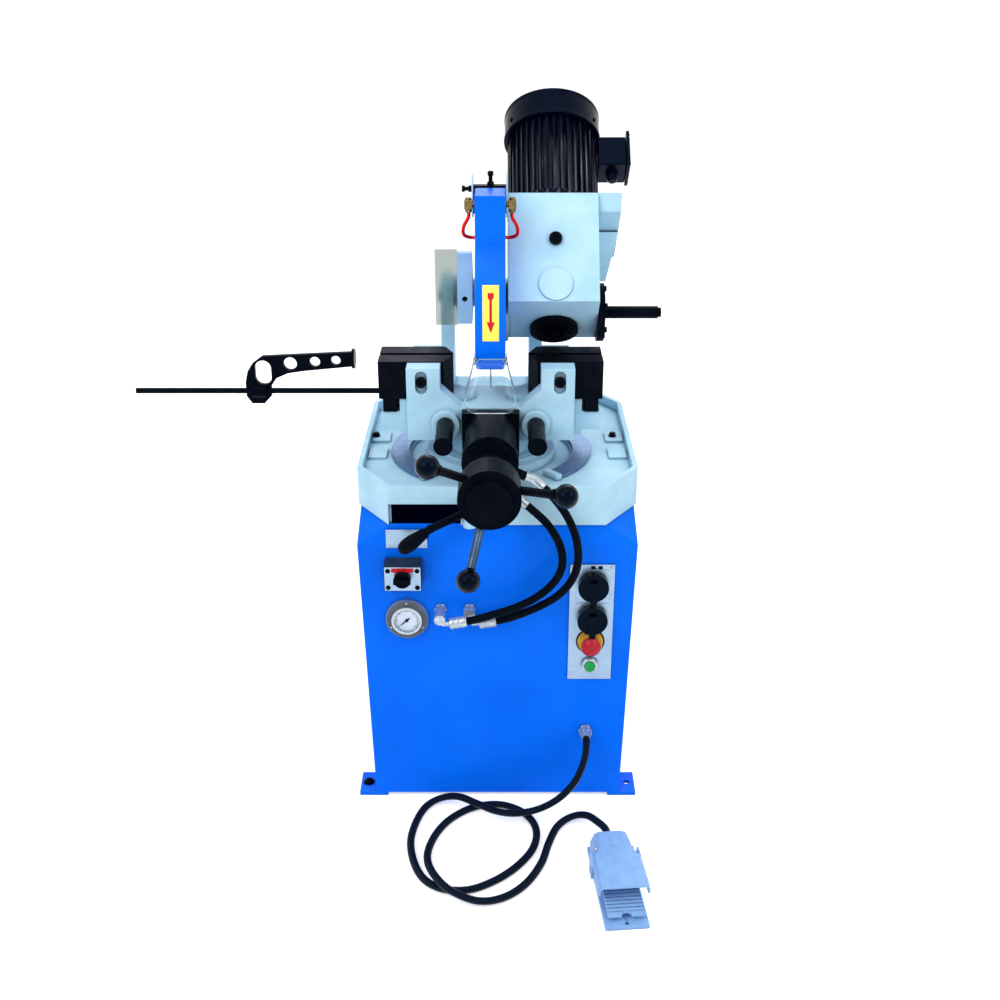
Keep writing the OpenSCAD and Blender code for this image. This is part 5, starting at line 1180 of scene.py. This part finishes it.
def makeCabinetBits():
    bm = bmesh.new()
    x, y = footBolt["at"]
    washer(bm, (x, y, footBolt["top"]), up, *footBolt["washer"])
    domeHead(bm, (x, y, footBolt["top"] + footBolt["washer"][1]), up, *footBolt["head"])
    piece("footBolt", "base", bm, made["blackEnamel"])
    bm = bmesh.new()
    look = panelLatch
    wide, high = look["grip"]
    for x in (-look["x"], look["x"]):
        for z in look["z"]:
            turned(bm, inMm(look["capShape"]), aimed((x, look["y"], z), rear), 32)
            block(bm, (x - wide, look["y"] + look["gripFrom"], z - high),
                  (x + wide, look["y"] + look["gripTo"], z + high))
    piece("panelLatches", "base", bm, made["blackAbs"], soften=0.5 * mm)
    bm = bmesh.new()
    (y0, y1), (z0, z1) = louvreBacking["y"], louvreBacking["z"]
    block(bm, (-louvreBacking["half"], y0, z0), (louvreBacking["half"], y1, z1))
    piece("louvreBacking", "base", bm, made["blackAbs"])


makeCabinetBits()


# pedal: broad hood whose wings hang free over the treadle, cheeks at its pin, housing behind, screws
pedal = {"at": centreOf("pedal_base").xy, "turn": 5, "socket": (0, 103.8 * mm, 28 * mm),
         "screw": (5 * mm, 4 * mm),
         # the rest in mm
         "floor": 9, "waist": 36, "cut": 9, "hem": 7, "innerHem": 8,
         # depth, half width at the foot, half width at the roof, roof height
         "house": [(104, 36, 27, 55), (98, 40, 32, 60), (70, 42, 36, 61), (45, 42, 37, 62)],
         # depth, half width, roof height, lower edge of the wings
         "hood": [(52, 36, 64, 56), (46, 38, 65.5, 54), (34, 42, 66, 50), (20, 49, 66, 47),
                  (-40, 50, 66, 46), (-72, 50, 65, 46)],
         "sheet": 4, "cheek": ((45, 19, 9), (49.5, 47, 60)), "screws": [(-35, 49, 58), (35, 49, 58)],
         # radius and height of the conduit's socket
         "socketShape": [(12, 0), (12, 9), (10.5, 13), (8.2, 13), (8.2, 2), (0, 2)]}


def pedalPlace():
    x, y = pedal["at"]
    return Matrix.Translation((x, y, 0)) @ Matrix.Rotation(math.radians(pedal["turn"]), 4, "Z")


def makePedal():
    place = pedalPlace()
    bm = bmesh.new()
    rings = []
    cut, waist, floor = pedal["cut"], pedal["waist"], pedal["floor"]
    for y, foot, roof, top in pedal["house"]:
        outline = [(-foot, floor), (foot, floor), (foot, waist), (roof, top - cut / 2), (roof - cut, top),
                   (cut - roof, top), (-roof, top - cut / 2), (-foot, waist)]
        rings.append([place @ (Vector((x, y, z)) * mm) for x, z in outline])
    lofted(bm, rings)
    turned(bm, inMm(pedal["socketShape"]), place @ aimed(pedal["socket"], rear), 28)
    rings = []
    t, hem, bend = pedal["sheet"], pedal["hem"], pedal["innerHem"]
    for y, half, top, low in pedal["hood"]:
        outer = [(-half, low), (-half, top - hem), (-half + hem, top), (half - hem, top), (half, top - hem),
                 (half, low)]
        inner = [(half - t, low), (half - t, top - bend), (half - bend, top - t), (bend - half, top - t),
                 (t - half, top - bend), (t - half, low)]
        rings.append([place @ (Vector((x, y, z)) * mm) for x, z in outer + inner])
    lofted(bm, rings)
    (x0, y0, z0), (x1, y1, z1) = pedal["cheek"]
    for low, high in ((x0, x1), (-x1, -x0)):
        block(bm, Vector((low, y0, z0)) * mm, Vector((high, y1, z1)) * mm, place)
    hood = piece("pedalHood", "base", bm, made["hammeredPaint"], soften=1.2 * mm, sharp=24)
    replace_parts(hood, "pedal_hood")
    bm = bmesh.new()
    for x, y, z in pedal["screws"]:
        domeHead(bm, place @ (Vector((x, y, z)) * mm), up, *pedal["screw"])
    piece("pedalScrews", "base", bm, made["zincPlate"])


makePedal()
print("controls, fittings and pedal made")


# pale floor, soft studio light
studio = {"floor": 120.0, "floorColour": "#F4F5F6", "floorRough": 0.9, "glow": 0.5, "world": 0.62,
          "drop": 0.5 * mm,
          "lamps": [  # place, aim, size, watts
              ((-2.2, -2.8, 3.6), (0, 0, 0.7), 2.6, 84), ((2.6, -2.2, 2.8), (0, 0, 0.7), 2.2, 38),
              ((0.4, 2.6, 3.4), (0, 0, 0.9), 2.4, 60), ((0, -1.2, 4.2), (0, 0, 0.7), 2.0, 22)]}


def lookedAt(tree):
    # 1 for a ray of sight, straight, mirrored or through glass; 0 for light on its way
    seen = addNode(tree, "ShaderNodeLightPath").outputs
    both = addNode(tree, "ShaderNodeMath", {"operation": "MAXIMUM"},
                   {0: seen["Is Camera Ray"], 1: seen["Is Glossy Ray"]}).outputs[0]
    return addNode(tree, "ShaderNodeMath", {"operation": "MAXIMUM"},
                   {0: both, 1: seen["Is Transmission Ray"]}).outputs[0]


def makeStudio():
    bm = bmesh.new()
    bmesh.ops.create_grid(bm, x_segments=1, y_segments=1, size=studio["floor"] / 2)
    mesh = bpy.data.meshes.new("floor")
    bm.to_mesh(mesh)
    bm.free()
    floor = bpy.data.objects.new("floor", mesh)
    floor.location.z = cadBox[0][2] - studio["drop"]
    scene.collection.objects.link(floor)
    paint = bpy.data.materials.new("paperFloor")
    paint.use_nodes = True
    tree = paint.node_tree
    shader = tree.nodes["Principled BSDF"]
    shader.inputs["Base Color"].default_value = linear(studio["floorColour"])
    shader.inputs["Roughness"].default_value = studio["floorRough"]
    glow = addNode(tree, "ShaderNodeMath", {"operation": "MULTIPLY", 1: studio["glow"]},
                   {0: lookedAt(tree)}).outputs[0]
    shader.inputs["Emission Color"].default_value = (1, 1, 1, 1)
    tree.links.new(glow, shader.inputs["Emission Strength"])
    mesh.materials.append(paint)
    world = bpy.data.worlds.new("studio")
    scene.world = world
    world.use_nodes = True
    tree = world.node_tree
    sky = tree.nodes["Background"]
    sky.inputs["Color"].default_value = (1, 1, 1, 1)
    level = addNode(tree, "ShaderNodeMapRange", {"To Min": studio["world"], "To Max": 1.0},
                    {"Value": lookedAt(tree)}).outputs["Result"]
    tree.links.new(level, sky.inputs["Strength"])
    for k, (at, aim, size, watts) in enumerate(studio["lamps"]):
        lamp = bpy.data.lights.new(f"lamp{k + 1}", "AREA")
        lamp.size = size
        lamp.energy = watts
        stand = bpy.data.objects.new(f"lamp{k + 1}", lamp)
        stand.location = at
        stand.rotation_euler = (Vector(aim) - Vector(at)).to_track_quat("-Z", "Y").to_euler()
        scene.collection.objects.link(stand)


makeStudio()
print("studio ready")
